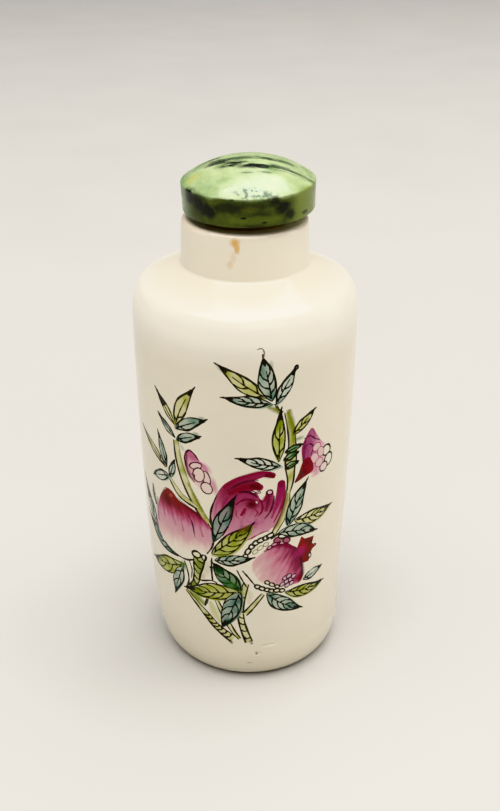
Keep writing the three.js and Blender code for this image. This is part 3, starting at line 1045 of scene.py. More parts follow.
# %% [markdown]
# ### Composing the front
#
# Everything springs from a few stems that meet near the foot. The lists below are the painter's plan for the
# leaves: where each one starts, which way it points, how long and how wide it is, its wash, how much it
# curves, how many pairs of veins it has and how much of its tip is solid ink.
#
# The order matters, because later shapes cover earlier ones: the upper stems and what lies behind, the
# peach, the citron and the buds, the sprays, the lower stems, the pomegranate, and last the leaves in
# front. The back of the bottle gets one plain sprig.

# %% The painter's plan
BEHIND = [  # base x, base y, angle, length, width, wash, bend, veins, tip
    (-10.6, 20.5, 152, 8.2, 2.0, "deep", -26, 3, 0.3),
    (-15.0, 22.6, 118, 8.0, 1.9, "teal", 0, 2, 0.4),
    (6.1, 27.2, 68, 6.9, 2.1, "teal", -10, 3, 0.12),
    (7.0, 27.9, -1, 6.6, 2.1, "straw", 16, 4, 0.08),
    (9.0, 17.1, 12, 3.6, 1.4, "mist", 8, 1, 0.22),
]
SPRAYS = [
    (2.8, 47.2, 143, 7.4, 1.9, "straw", -12, 2, 0.16),
    (3.3, 46.4, 171, 5.8, 1.5, "teal", -10, 3, 0.16),
    (3.4, 46.7, 101, 6.0, 2.2, "teal", 6, 3, 0.14),
    (4.0, 46.2, 61, 5.1, 1.5, "mist", -8, 2, 0.22),
    (4.5, 37.7, 89, 7.3, 1.7, "spring", -4, 2, 0.06),
    (6.3, 41.4, 42, 4.2, 1.3, "straw", 10, 2, 0.14),
    (5.3, 38.9, 16, 2.5, 0.9, "green", 0, 1, 0.14),
    (5.1, 37.8, 22, 2.2, 0.9, "green", 6, 1, 0.12),
    (5.3, 36.5, 20, 2.0, 0.9, "green", 0, 1, 0.1),
    (4.7, 37.0, 164, 5.6, 1.6, "mist", -12, 3, 0.18),
    (-9.7, 41.8, 128, 5.2, 1.0, "straw", 0, 0, 0.45),
    (-9.6, 42.0, 63, 6.3, 1.8, "straw", -20, 1, 0.12),
    (-9.8, 39.9, 139, 3.8, 0.9, "teal", 6, 0, 0.22),
    (-9.6, 41.4, 27, 4.9, 1.6, "teal", -12, 1, 0.16),
    (-9.6, 39.7, 21, 3.8, 1.3, "teal", -16, 1, 0.2),
    (-11.9, 34.6, 147, 6.6, 1.1, "straw", 8, 1, 0.2),
    (-11.7, 34.7, 107, 4.9, 1.2, "teal", 8, 1, 0.18),
    (-11.4, 33.5, 201, 3.7, 1.5, "mist", 0, 1, 0.12),
    (-11.2, 33.4, 70, 3.0, 1.0, "mist", 0, 1, 0.12),
]
IN_FRONT = [
    (4.7, 26.4, -14, 6.1, 2.0, "teal", -22, 3, 0.06),
    (6.0, 15.9, -7, 7.0, 1.9, "spring", 18, 4, 0.06),
    (3.2, 16.3, -36, 6.7, 2.3, "teal", 32, 4, 0.06),
    (-4.4, 21.9, 8, 5.3, 1.7, "teal", 10, 3, 0.12),
    (-0.7, 17.1, 133, 5.6, 2.4, "pine", -10, 3, 0.08),
    (-0.9, 16.8, 188, 8.3, 2.7, "spring", -8, 4, 0.05),
    (-0.8, 16.7, 245, 7.0, 2.6, "deep", -12, 3, 0.08),
    (-9.5, 19.5, 199, 8.4, 2.7, "spring", -18, 3, 0.05),
    (-9.8, 18.9, 249, 5.5, 1.9, "teal", 6, 2, 0.08),
]
BACK = [  # base x from the middle of the back, base y, angle, length, width, wash
    (0.4, 35.0, 118, 6.0, 1.7, "teal"),
    (0.5, 35.2, 74, 6.6, 1.9, "straw"),
    (0.6, 34.8, 28, 5.4, 1.6, "deep"),
    (-0.6, 28.0, 160, 6.2, 1.9, "teal"),
    (-0.4, 26.0, 26, 6.6, 2.1, "spring"),
    (0.4, 20.5, 150, 6.4, 2.0, "straw"),
    (0.6, 18.0, 22, 6.0, 2.1, "teal"),
    (0.0, 15.5, 168, 5.0, 1.8, "deep"),
]
print(len(BEHIND) + len(SPRAYS) + len(IN_FRONT), "leaves on the front and", len(BACK), "on the back")


# %% The front
def leaves(rows):
    for x, y, *shape in rows:
        leaf((x, y), *shape)


def upper_stems():
    """The right stem up to the top spray, the left one, and the twig of the small leaves."""
    stem([(5.3, 44.8), (6.0, 42.4), (6.3, 39.6), (6.1, 36.8), (6.2, 34.6), (5.95, 32.7)],
         [0.4, 0.9, 1.0, 1.6, 1.0, 0.5], sides=(0.9, 0.9))
    soft_stroke([(5.7, 45.2), (5.9, 43.6), (6.3, 41.8), (6.5, 39.8)], [0.9, 1.5, 1.2, 0.4], OLIVE, 0.95)
    stem([(5.9, 33.0), (5.7, 30.7), (5.1, 28.7), (3.9, 26.3)], [0.5, 0.9, 0.9, 0.6], sides=(0.5, 0.9))
    soft_stroke([(5.8, 32.6), (5.5, 30.6), (4.8, 28.6), (3.8, 26.8)], [0.5, 0.8, 0.8, 0.4], BROWN, 0.75)
    draw([(3.9, 46.3), (4.2, 45.5), (4.9, 44.9)], [1.4, 1.6, 1.0])
    soft_stroke([(2.9, 46.0), (3.7, 45.5), (4.5, 44.8)], [0.8, 1.0, 0.5], OLIVE, 0.9)
    stem([(-9.7, 39.6), (-9.3, 36.6), (-8.2, 33.2), (-6.7, 30.3), (-5.3, 27.9), (-4.5, 25.2)],
         [0.8, 1.1, 1.0, 0.7], sides=(0.3, 1.2))
    soft_stroke([(-9.2, 38.4), (-8.8, 36.2), (-8.1, 34.4)], [0.4, 0.8, 0.4], OLIVE, 0.6)
    soft_stroke([(-8.0, 33.6), (-6.8, 31.2), (-5.4, 28.6)], [0.4, 1.0, 0.4], OLIVE, 0.9)
    stem([(-11.2, 33.3), (-10.3, 32.2), (-9.3, 31.2), (-8.0, 30.6), (-6.6, 30.0)], [0.4, 0.8, 0.8, 0.4],
         sides=(0.3, 1.0))


def lower_stems():
    """Loose green behind, then four stems that meet near the foot, and the ink pooled at their ends."""
    soft_stroke([(-8.8, 15.0), (-7.2, 14.2), (-6.2, 13.4)], [0.8, 2.0, 0.8], pigment(120, 134, 14), 0.95)
    soft_stroke([(-5.4, 14.4), (-4.8, 12.6), (-4.0, 10.8)], [0.8, 1.8, 0.8], YELLOW_GREEN, 0.6)
    soft_stroke([(-0.2, 17.4), (0.6, 16.4), (0.5, 14.6)], [0.5, 1.4, 0.6], YELLOW_GREEN, 0.35)
    stem([(-9.4, 15.2), (-7.6, 13.4), (-5.9, 11.5), (-4.5, 9.8), (-2.3, 8.0)], [0.4, 0.6, 1.0, 1.1, 1.4],
         rungs=7, rung_from=0.42, sides=(0.8, 1.2))
    draw([(-5.7, 14.9), (-6.0, 14.1), (-6.3, 13.3)], [1.3, 2.0, 0.8])
    stem([(-4.4, 15.0), (-3.1, 11.6), (-2.1, 9.4), (-1.2, 8.1)], [0.5, 0.7, 0.7, 0.4], sides=(1.0, 0.7))
    stem([(0.1, 18.2), (-0.4, 16.0), (-0.8, 13.4), (-0.6, 10.6), (0.2, 7.5)], [0.8, 0.9, 0.9, 1.1], rungs=7,
         rung_from=0.2, sides=(1.0, 1.1))
    stem([(2.6, 16.2), (0.9, 14.0), (-0.2, 12.7)], [0.5, 0.7, 0.7], sides=(0.9, 0.9))
    for foot in ((-0.4, 8.2), (0.5, 7.5), (-2.6, 7.4)):
        soft_spot(foot, (0.35, 0.6), INK, 1.0, 20)


def twigs():
    """The short twigs between the peach and the lower leaves."""
    stem([(-6.8, 21.9), (-7.0, 20.2), (-7.2, 18.8), (-7.6, 17.2), (-8.6, 15.9)], [1.7, 1.5, 1.1, 0.9, 0.6],
         "spring", rungs=6, sides=(0.9, 1.0))
    bead((-7.2, 22.1), (0.7, 0.55), 0, (STRAW, 0.4), 1.2)
    bead((-6.0, 21.9), (0.4, 0.45), 0, (STRAW, 0.3), 0.9)
    soft_spot((-5.6, 20.2), (0.8, 1.7), pigment(176, 176, 146), 0.5, -12)
    soft_spot((-6.3, 18.6), (0.5, 0.8), OLIVE, 0.4, -12)
    draw([(-5.7, 22.3), (-6.1, 20.4), (-6.9, 17.9), (-5.0, 18.2), (-4.1, 17.9)], [0.9, 1.0, 1.2, 1.0, 0.8])
    draw([(-4.8, 22.2), (-4.9, 20.2), (-4.8, 18.1)], [0.8, 1.3, 1.0])
    draw([(-5.2, 20.5), (-4.6, 20.5), (-4.0, 20.3)], [1.4, 1.0, 0.7])
    draw([(-9.4, 20.2), (-8.9, 18.6), (-8.8, 16.9), (-9.4, 15.3)], [0.8, 1.1, 1.1, 1.8])
    draw([(-8.5, 20.6), (-8.1, 19.2), (-8.3, 17.6)], [0.6, 0.9, 0.6])
    draw([(-1.2, 20.6), (-0.5, 19.0), (0.2, 17.6)], [0.7, 1.0, 0.9])


def smudges():
    """Where the wash was laid past the outline, next to the tips of some leaves."""
    for centre, reach, colour, strength, turn in (
            ((3.2, 51.6), (0.45, 0.9), DEEP_TEAL, 0.55, 0), ((-3.0, 51.2), (0.9, 0.35), OLIVE, 0.6, -40),
            ((-5.7, 43.9), (0.7, 0.3), DEEP_TEAL, 0.6, 10), ((-6.5, 41.4), (0.7, 0.4), DEEP_TEAL, 0.7, 0),
            ((-8.7, 38.8), (0.8, 0.4), DEEP_TEAL, 0.4, -50), ((-12.6, 42.5), (0.35, 0.6), DEEP_TEAL, 0.5, 40),
            ((-9.5, 41.6), (0.5, 0.6), LEAF_GREEN, 0.7, 0), ((7.3, 40.6), (0.9, 0.4), LEAF_GREEN, 0.7, 5)):
        soft_spot(centre, reach, colour, strength, turn)


def paint_front():
    upper_stems()
    leaves(BEHIND)
    soft_stroke([(-15.6, 30.2), (-15.5, 28.6), (-15.0, 27.0)], [0.6, 1.5, 0.7], pigment(18, 50, 40), 1.0)
    soft_stroke([(-11.0, 20.6), (-12.2, 21.0), (-13.4, 21.8)], [0.4, 0.9, 0.4], pigment(18, 64, 52), 0.9)
    draw([(-18.4, 29.6), (-17.2, 27.6), (-16.0, 25.0)], [0.8, 1.1, 0.8])
    peach()
    citron()
    left_bud()
    right_bud()
    smudges()
    leaves(SPRAYS)
    lower_stems()
    twigs()
    pomegranate()
    leaf((-4.4, 25.0), 68, 7.9, 2.1, "deep", -6, 2, 0.14, over=True)
    soft_stroke([(-2.2, 29.0), (-1.8, 30.6), (-1.5, 31.8)], [0.4, 0.9, 0.6], INK, 0.75)
    leaf((-4.8, 22.9), 43, 7.7, 2.5, "spring", 8, 4, 0.05, over=True)
    soft_stroke([(-0.9, 26.8), (0.1, 27.7), (0.7, 28.2)], [0.6, 1.5, 0.5], BROWN, 0.6)
    leaves(IN_FRONT)
    soft_spot((-9.6, 19.3), (0.9, 1.0), LEAF_GREEN, 0.75)
    soft_spot((-1.9, 17.9), (1.0, 1.0), LEAF_GREEN, 0.6)
    draw([(2.2, 52.7), (2.4, 53.4), (2.1, 54.0), (1.5, 53.9)], [1.0, 0.7, 0.5], BROWN, 0.85)
    bead((6.6, 50.9), (0.24, 0.28), 0, (INK, 0.9), 0.8)


def paint_back():
    """The side away from the viewer carries one plain sprig."""
    middle = -math.pi * BODY_RADIUS
    stem([(middle - 1.0, 12.0), (middle + 0.6, 19.0), (middle - 0.8, 27.0), (middle + 0.4, 35.0)],
         [1.0, 0.9, 0.7], rungs=6)
    for x, y, angle, length, width, wash in BACK:
        leaf((middle + x, y), angle, length, width, wash, -8, 3, 0.1)


paint_front()
paint_back()
print(len(painting), "brush marks")

# %% [markdown]
# ### Cutting the sheet
#
# A constrained Delaunay triangulation takes every outline as an edge that must be there, and loose points
# that only keep the triangles small enough for the washes to shade. It also says which shapes each triangle
# lies in, so the colours can be stacked in the painter's order.

# %% Unrolled sheet, cut along every brush line
STEP = 2 * math.pi * BODY_RADIUS / ROUND  # one column of the bottle's mesh
SEAM_LEFT, SEAM_RIGHT = -88 * STEP, 40 * STEP  # the sheet's two ends meet on the right, behind
ROWS = list(np.linspace(SIDE_BOTTOM, SHEET_TOP, 50))
WASH_GRID = 0.34  # spacing of the loose points under the paint
PAINTED = [(-20.5, 14.8, 6.6, 54.4), (-57.0, -37.5, 10.5, 43.5)]  # left, right, low, high: front and back
FLAT = 1e-8  # a ring whose first corner turns less than this has no inside
SNAP = 1e-5  # points closer than this become one in the cut


def loose_points():
    """Points inside the sheet: close together where there is paint, and sparse elsewhere."""
    points = []
    for left, right, low, high in PAINTED:
        for row, y in enumerate(np.arange(low, high, WASH_GRID)):
            for x in np.arange(left + (row % 2) * WASH_GRID / 2, right, WASH_GRID):
                points.append((x, y))
    margin = 0.5 * STEP
    for column in range(1, ROUND):
        x = SEAM_LEFT + column * STEP
        for y in ROWS[1:-1]:
            if not any(left - margin < x < right + margin and low - margin < y < high + margin
                       for left, right, low, high in PAINTED):
                points.append((x, y))
    return points


def from_corner(patch):
    """The ring from its leftmost point on, with its inside on the left, or nothing if it is flat."""
    ring = np.roll(patch, -np.lexsort((patch[:, 1], patch[:, 0]))[0], axis=0)
    ahead, before = ring[1] - ring[0], ring[-1] - ring[0]
    turn = ahead[0] * before[1] - ahead[1] * before[0]
    if abs(turn) < FLAT:
        return None
    return ring if turn > 0 else np.vstack([ring[:1], ring[:0:-1]])


def cut_sheet():
    columns = [SEAM_LEFT + i * STEP for i in range(ROUND + 1)]
    rim = ([(x, SIDE_BOTTOM) for x in columns] + [(columns[-1], y) for y in ROWS[1:]]
           + [(x, SHEET_TOP) for x in columns[-2::-1]] + [(columns[0], y) for y in ROWS[-2:0:-1]])
    edges = [(i, (i + 1) % len(rim)) for i in range(len(rim))]
    verts = rim + loose_points()
    faces, face_shape = [], []
    for shape, (patches, _) in enumerate(painting):
        for patch in patches:
            ring = from_corner(patch)
            if ring is not None:
                faces.append(list(range(len(verts), len(verts) + len(ring))))
                face_shape.append(shape)
                verts += [tuple(p) for p in ring]
    out = delaunay_2d_cdt([Vector(v) for v in verts], edges, faces, 0, SNAP, True)
    places = np.array([v[:] for v in out[0]])
    triangles = np.array(out[2])
    shapes = [sorted({face_shape[f] for f in inside}) for inside in out[5]]
    return places, triangles, shapes


places, triangles, shapes = cut_sheet()
print(len(places), "points and", len(triangles), "triangles in the sheet")


# %% Colour at every corner
BARELY = 1e-6  # less hiding than this is none


def colour_corners():
    """Stacks the shapes over each triangle's corners. The result holds red, green, blue and hiding."""
    colours = np.zeros((len(triangles), 3, 4))
    lying_in = [[] for _ in painting]
    for triangle, inside in enumerate(shapes):
        for shape in inside:
            lying_in[shape].append(triangle)
    for (_, colour), members in zip(painting, lying_in):
        if not members:
            continue
        corners = triangles[members].ravel()
        paint = colour(places[corners, 0], places[corners, 1]).reshape(-1, 3, 4)
        wiped = (paint == 0).all(axis=-1, keepdims=True)
        under, hides = colours[members], paint[..., 3:]
        left_over = under[..., 3:] * (1 - hides)
        total = hides + left_over
        mixed = (paint[..., :3] * hides + under[..., :3] * left_over) / np.maximum(total, BARELY)
        colours[members] = np.where(wiped, 0, np.concatenate([mixed, total], axis=-1))
    return colours


corner_colours = colour_corners()
print(f"{(corner_colours[..., 3] > 0.05).any(1).sum()} triangles carry paint")

# %% [markdown]
# ### Rolling the sheet and closing the bottle
#
# The sheet is rolled round the axis at the wall's radius, and welded to the turned forms above and below
# it. The normals are then given by the form's own formula, not by the uneven triangles, so that the glaze
# reflects as smoothly as if nothing had been cut. A real one isn't perfectly round: the foot sits half a
# millimetre to one side.

# %% The bottle's mesh
FOOT_DRIFT = 0.55
DRIFT_ENDS = 17.0
FRONT_LEFT, FRONT_RIGHT = -21.0, 15.4  # the stretch of the sheet that holds the front's painting
HAIR = 0.001  # keeps the front's corners off its own border
CHART_FRONT = (0.005, 0.62, 0.13, 0.995)  # left, right, low and high in the UV map
CHART_REST = (0.63, 0.995, 0.66, 0.995)
CHART_FOOT = (0.63, 0.995, 0.50, 0.65)
CHART_SHOULDER = (0.63, 0.995, 0.22, 0.49)
CHART_CHAMBER = (0.63, 0.995, 0.005, 0.21)
WELD = 2e-6  # the sheet and the turned parts are joined within this, in metres
NEAR = 0.02  # a point this close to the wall lies on it
SLOPE_STEP = 0.05  # the wall's slope is taken over this much up and down


def drift(height):
    left = np.clip(1 - np.asarray(height) / DRIFT_ENDS, 0, 1)
    return FOOT_DRIFT * left * left * (3 - 2 * left)


def rolled(x, y):
    radius = wall_radius(y)
    angle = x / BODY_RADIUS
    return np.column_stack([radius * np.sin(angle), -radius * np.cos(angle), y])


def in_box(across, up, box):
    """Places in the UV map from shares of a box, 0 to 1 across and up."""
    left, right, low, high = box
    return np.column_stack([left + across * (right - left), low + up * (high - low)])


def sheet_chart(x, y):
    """Places in the UV map for the sheet: the painted front large, the rest of the wall small."""
    up = (y - SIDE_BOTTOM) / (SHEET_TOP - SIDE_BOTTOM)
    front_width = FRONT_RIGHT - FRONT_LEFT
    rest_width = SEAM_RIGHT - SEAM_LEFT - front_width
    in_front = in_box((x - FRONT_LEFT) / front_width, up, CHART_FRONT)
    past = np.where(x <= FRONT_LEFT, x, x - front_width) - SEAM_LEFT
    on_front = (x > FRONT_LEFT) & (x < FRONT_RIGHT)
    return np.where(on_front[:, None], in_front, in_box(past / rest_width, up, CHART_REST))


def sheet_mesh(material):
    mesh = bpy.data.meshes.new("wall")
    mesh.from_pydata((rolled(*places.T) * MM).tolist(), [], triangles.tolist())
    mesh.materials.append(material)
    middle = places[triangles].mean(axis=1)[:, :1]
    x, y = places[triangles, 0], places[triangles, 1]
    on_front = (middle > FRONT_LEFT) & (middle < FRONT_RIGHT)
    beside = np.where(middle < 0, np.minimum(x, FRONT_LEFT), np.maximum(x, FRONT_RIGHT))
    x = np.where(on_front, np.clip(x, FRONT_LEFT + HAIR, FRONT_RIGHT - HAIR), beside)
    chart = mesh.uv_layers.new(name="OFBake")
    chart.data.foreach_set("uv", sheet_chart(x.ravel(), y.ravel()).ravel())
    enamel = mesh.color_attributes.new("enamel", "FLOAT_COLOR", "CORNER")
    enamel.data.foreach_set("color", corner_colours.ravel())
    return mesh


def shell_mesh(name, profile, material, chart_box):
    """A turned part of the bottle with its own corner of the UV map and no paint."""
    mesh = turned_form(name, profile, ROUND, material)
    chart = mesh.uv_layers["OFBake"]
    uv = np.zeros(2 * len(mesh.loops))
    chart.data.foreach_get("uv", uv)
    chart.data.foreach_set("uv", in_box(uv[0::2], uv[1::2], chart_box).ravel())
    enamel = mesh.color_attributes.new("enamel", "FLOAT_COLOR", "CORNER")
    enamel.data.foreach_set("color", np.zeros(4 * len(mesh.loops)))
    return mesh


def bottle_mesh(material):
    inside = [upper_profile()[-1], *chamber_profile()]
    parts = [sheet_mesh(material), shell_mesh("foot", underside_profile(), material, CHART_FOOT),
             shell_mesh("shoulder", upper_profile(), material, CHART_SHOULDER),
             shell_mesh("chamber", inside, material, CHART_CHAMBER)]
    form = bmesh.new()
    for part in parts:
        form.from_mesh(part)
        bpy.data.meshes.remove(part)
    bmesh.ops.remove_doubles(form, verts=form.verts, dist=WELD)
    bmesh.ops.recalc_face_normals(form, faces=form.faces)
    open_edges = sum(1 for e in form.edges if len(e.link_faces) != 2)
    for vertex in form.verts:
        vertex.co.x += float(drift(vertex.co.z / MM)) * MM
    mesh = bpy.data.meshes.new("painted_bottle")
    form.to_mesh(mesh)
    form.free()
    mesh.materials.append(material)
    mesh.shade_smooth()
    print("open or doubled edges:", open_edges)
    return mesh


def smooth_normals(mesh):
    """Normals of the form itself for the wall, and the mesh's own everywhere else."""
    at, normals = np.zeros(3 * len(mesh.vertices)), np.zeros(3 * len(mesh.vertices))
    mesh.vertices.foreach_get("co", at)
    mesh.vertex_normals.foreach_get("vector", normals)
    x, y, z = at.reshape(-1, 3).T / MM
    normals = normals.reshape(-1, 3)
    x = x - drift(z)
    radius = np.hypot(x, y).clip(NEAR)
    height = np.clip(z, SIDE_BOTTOM, SHEET_TOP)
    on_wall = (np.abs(radius - wall_radius(height)) < NEAR) & (np.abs(z - height) < NEAR)
    rise = wall_radius(height + SLOPE_STEP) - wall_radius(height - SLOPE_STEP)
    slope = rise / (2 * SLOPE_STEP)
    given = np.column_stack([x / radius, y / radius, -slope])
    given /= np.linalg.norm(given, axis=1)[:, None]
    normals[on_wall] = given[on_wall]
    mesh.normals_split_custom_set_from_vertices(normals.tolist())
    print(int(on_wall.sum()), "normals given by formula")


print("the foot sits", FOOT_DRIFT, "mm to one side")

# %% [markdown]
# ## The glaze
#
# Porcelain is never one flat white. This one is warm cream with faint clouds. On that, the shoulder is painted
# paler, a painted highlight where the overhead light falls on it, and the lip browner and the foot a little
# darker, which is painted shade under the cap and towards the floor. The tints are a short table of heights.
# So
# are the marks: a stain that has run from the lip down the neck and small brown specks, which are marks of
# use, pits near the foot, and pale spots on those pits that are painted glints. The glaze is glassy and very
# slightly rippled, and the foot ring is bare, rough clay. The painting comes from the corner colours. Their
# fourth number says how much the enamel hides the glaze, and enamel shines less.


# %% Glaze and enamel
CREAM, SHADED_CREAM = pigment(228, 218, 196), pigment(219, 210, 190)
PAINTED_HIGHLIGHT, CLAY = pigment(246, 242, 232), pigment(204, 190, 166)
TINTS = [  # height where it starts, height where it is full, strength, colour
    # painted highlight: the shoulder is paler where the overhead light falls on it
    (50.0, 54.5, 0.4, PAINTED_HIGHLIGHT),
    (57.5, 59.0, 1.0, pigment(228, 219, 199)),
    # painted shade: browner along the lip, where the cap shades it
    (65.2, 65.8, 0.3, pigment(200, 168, 138)),
    # painted shade: a little darker towards the foot, where less light reaches
    (12.0, 1.0, 0.4, pigment(208, 196, 168)),
]
BARE_CLAY = (0.2, 0.05)
STAIN, SPECK = pigment(208, 162, 78), pigment(112, 92, 62)
MARKS = [  # colour, centre, reach, strength
    (STAIN, (-1.2, -8.3, 65.0), (0.55, 1.2, 0.5), 0.9),
    (STAIN, (-0.95, -8.3, 64.3), (0.32, 1.2, 0.6), 0.85),
    (STAIN, (-1.4, -8.3, 63.1), (0.35, 1.2, 0.6), 0.25),
    (STAIN, (-1.8, -8.3, 62.2), (0.4, 1.4, 0.5), 0.35),
    (SPECK, (1.6, -13.6, 5.3), (0.2, 0.6, 0.26), 0.7),
    (SPECK, (0.6, -13.0, 3.4), (0.4, 0.8, 0.13), 0.5),
    (SPECK, (2.3, -12.9, 3.6), (0.13, 0.5, 0.2), 0.6),
    (SPECK, (-6.6, -12.4, 9.8), (0.1, 0.3, 0.1), 0.5),
    (SPECK, (7.4, -11.4, 13.0), (0.12, 0.3, 0.12), 0.5),
    # pale spots on the pits near the foot: painted glints; the pits themselves are in the bump below
    (PAINTED_HIGHLIGHT, (-2.1, -13.0, 1.15), (0.8, 0.9, 0.24), 0.9),
    (PAINTED_HIGHLIGHT, (-0.7, -13.1, 1.0), (0.5, 0.9, 0.2), 0.7),
    (PAINTED_HIGHLIGHT, (0.3, -13.15, 1.15), (0.65, 0.9, 0.24), 0.9),
    (PAINTED_HIGHLIGHT, (3.7, -13.2, 6.6), (0.8, 0.8, 0.14), 0.5),
]
PITS = [  # centre, reach
    ((3.2, -13.4, 6.6), (0.9, 0.8, 0.3)),
    ((1.8, -13.5, 5.2), (0.5, 0.8, 0.35)),
    ((0.3, -13.15, 1.15), (0.7, 0.9, 0.26)),
    ((-2.0, -13.0, 1.15), (0.9, 0.9, 0.26)),
]


def glaze_material():
    material, tree, shader = new_material("painted_porcelain")
    place = put(tree, "ShaderNodeTexCoord").outputs["Object"]
    up = put(tree, "ShaderNodeSeparateXYZ", {0: place}).outputs["Z"]
    body = blend(tree, clouds(tree, 9, 1.6), opaque(CREAM), opaque(SHADED_CREAM))
    for start, full, strength, tint in TINTS:
        body = blend(tree, ramp(tree, up, start * MM, full * MM, 0, strength), body, opaque(tint))
    for tint, centre, reach, strength in MARKS:
        spot = blot(tree, centre, reach, 1.0, 0.35, 0.8)
        body = blend(tree, times(tree, spot, strength), body, opaque(tint))
    enamel = put(tree, "ShaderNodeVertexColor", layer_name="enamel").outputs
    bare_clay = ramp(tree, up, BARE_CLAY[0] * MM, BARE_CLAY[1] * MM)
    colour = blend(tree, enamel["Alpha"], body, enamel["Color"])
    gloss = ramp(tree, clouds(tree, 3, 1.5), 0, 1, 0.13, 0.21)
    gloss = plus(tree, gloss, times(tree, enamel["Alpha"], 0.12))
    wide, fine = clouds(tree, 4.5, 1, 2), clouds(tree, 0.9, 1, 1)
    ripple = plus(tree, times(tree, wide, 0.05), times(tree, fine, 0.004))
    for centre, reach in PITS:
        ripple = minus(tree, ripple, times(tree, blot(tree, centre, reach, 0.6, 0.5, 0.8), 0.1))
    feed(tree, shader, {
        "Base Color": blend(tree, bare_clay, colour, opaque(CLAY)),
        "Roughness": plus(tree, gloss, times(tree, bare_clay, 0.55)),
        "Normal": bumped(tree, ripple, 0.6),
        "IOR": 1.5,
        "Specular IOR Level": ramp(tree, enamel["Alpha"], 0, 1, 0.85, 0.18),
    })
    return material


glaze = glaze_material()
bottle = show(bpy.data.objects.new("painted_bottle", bottle_mesh(glaze)))
smooth_normals(bottle.data)
print(len(bottle.data.polygons), "faces in the bottle")

# %% [markdown]
# ## The stopper's cap
#
# The cap is cut from a green stone, a shallow dome on a short band that narrows downwards. Its edges are
# only just broken, so a thin bright line runs round the rim and the lower edge. The stone is cloudy sage on
# top, olive on the band, with long dark streaks across the back of the dome and near-black patches on the
# band. It is glued to its cork a little off centre and stands a degree or two out of level.

# %% The cap's sizes
CAP_LOWER_RADIUS, CAP_UPPER_RADIUS = 8.42, 8.54
CAP_BAND, CAP_RISE = 3.52, 2.84
CAP_CLEARANCE = 1.22
CAP_OFFSET = 0.5
CAP_EDGE, CAP_EASE = 0.05, 0.14  # the dome starts this far in, and the edges are broken by this much
TILT_FRONT, TILT_RIGHT = math.radians(1.1), math.radians(1.3)
STOPPER_PLACE = (Matrix.Translation((0, 0, (HEIGHT + CAP_CLEARANCE) * MM))
                 @ Matrix.Rotation(TILT_FRONT, 4, "X") @ Matrix.Rotation(-TILT_RIGHT, 4, "Y"))


def cap_profile():
    sphere = (CAP_UPPER_RADIUS ** 2 + CAP_RISE ** 2) / (2 * CAP_RISE)
    rim_angle = math.degrees(math.acos((CAP_UPPER_RADIUS - CAP_EDGE) / sphere))
    crown = CAP_BAND + CAP_RISE
    dome = arc((0, crown - sphere), (sphere, sphere), rim_angle, 90, 22)
    corners = [(7.4, 0), (CAP_LOWER_RADIUS, 0), (CAP_UPPER_RADIUS, CAP_BAND), dome[1]]
    return [(0, 0), (2.5, 0), (5.0, 0), *eased(corners, CAP_EASE, 4), *dome[2:-1], (0, crown)]


print(len(cap_profile()), "points in the cap's profile")


# %% [markdown]
# ### Green stone
#
# The colour is layered: clouds of sage on the dome, olive on the band, yellow-green where light comes
# through on the right. Over them lie streaks, patches, dots and one mottled place, each where the table puts
# it. The streaks are broken up by a noise drawn out along the dome. A little light passes through the
# stone, so it gets some subsurface scatter. Its polish is uneven, and dull where it is mottled.


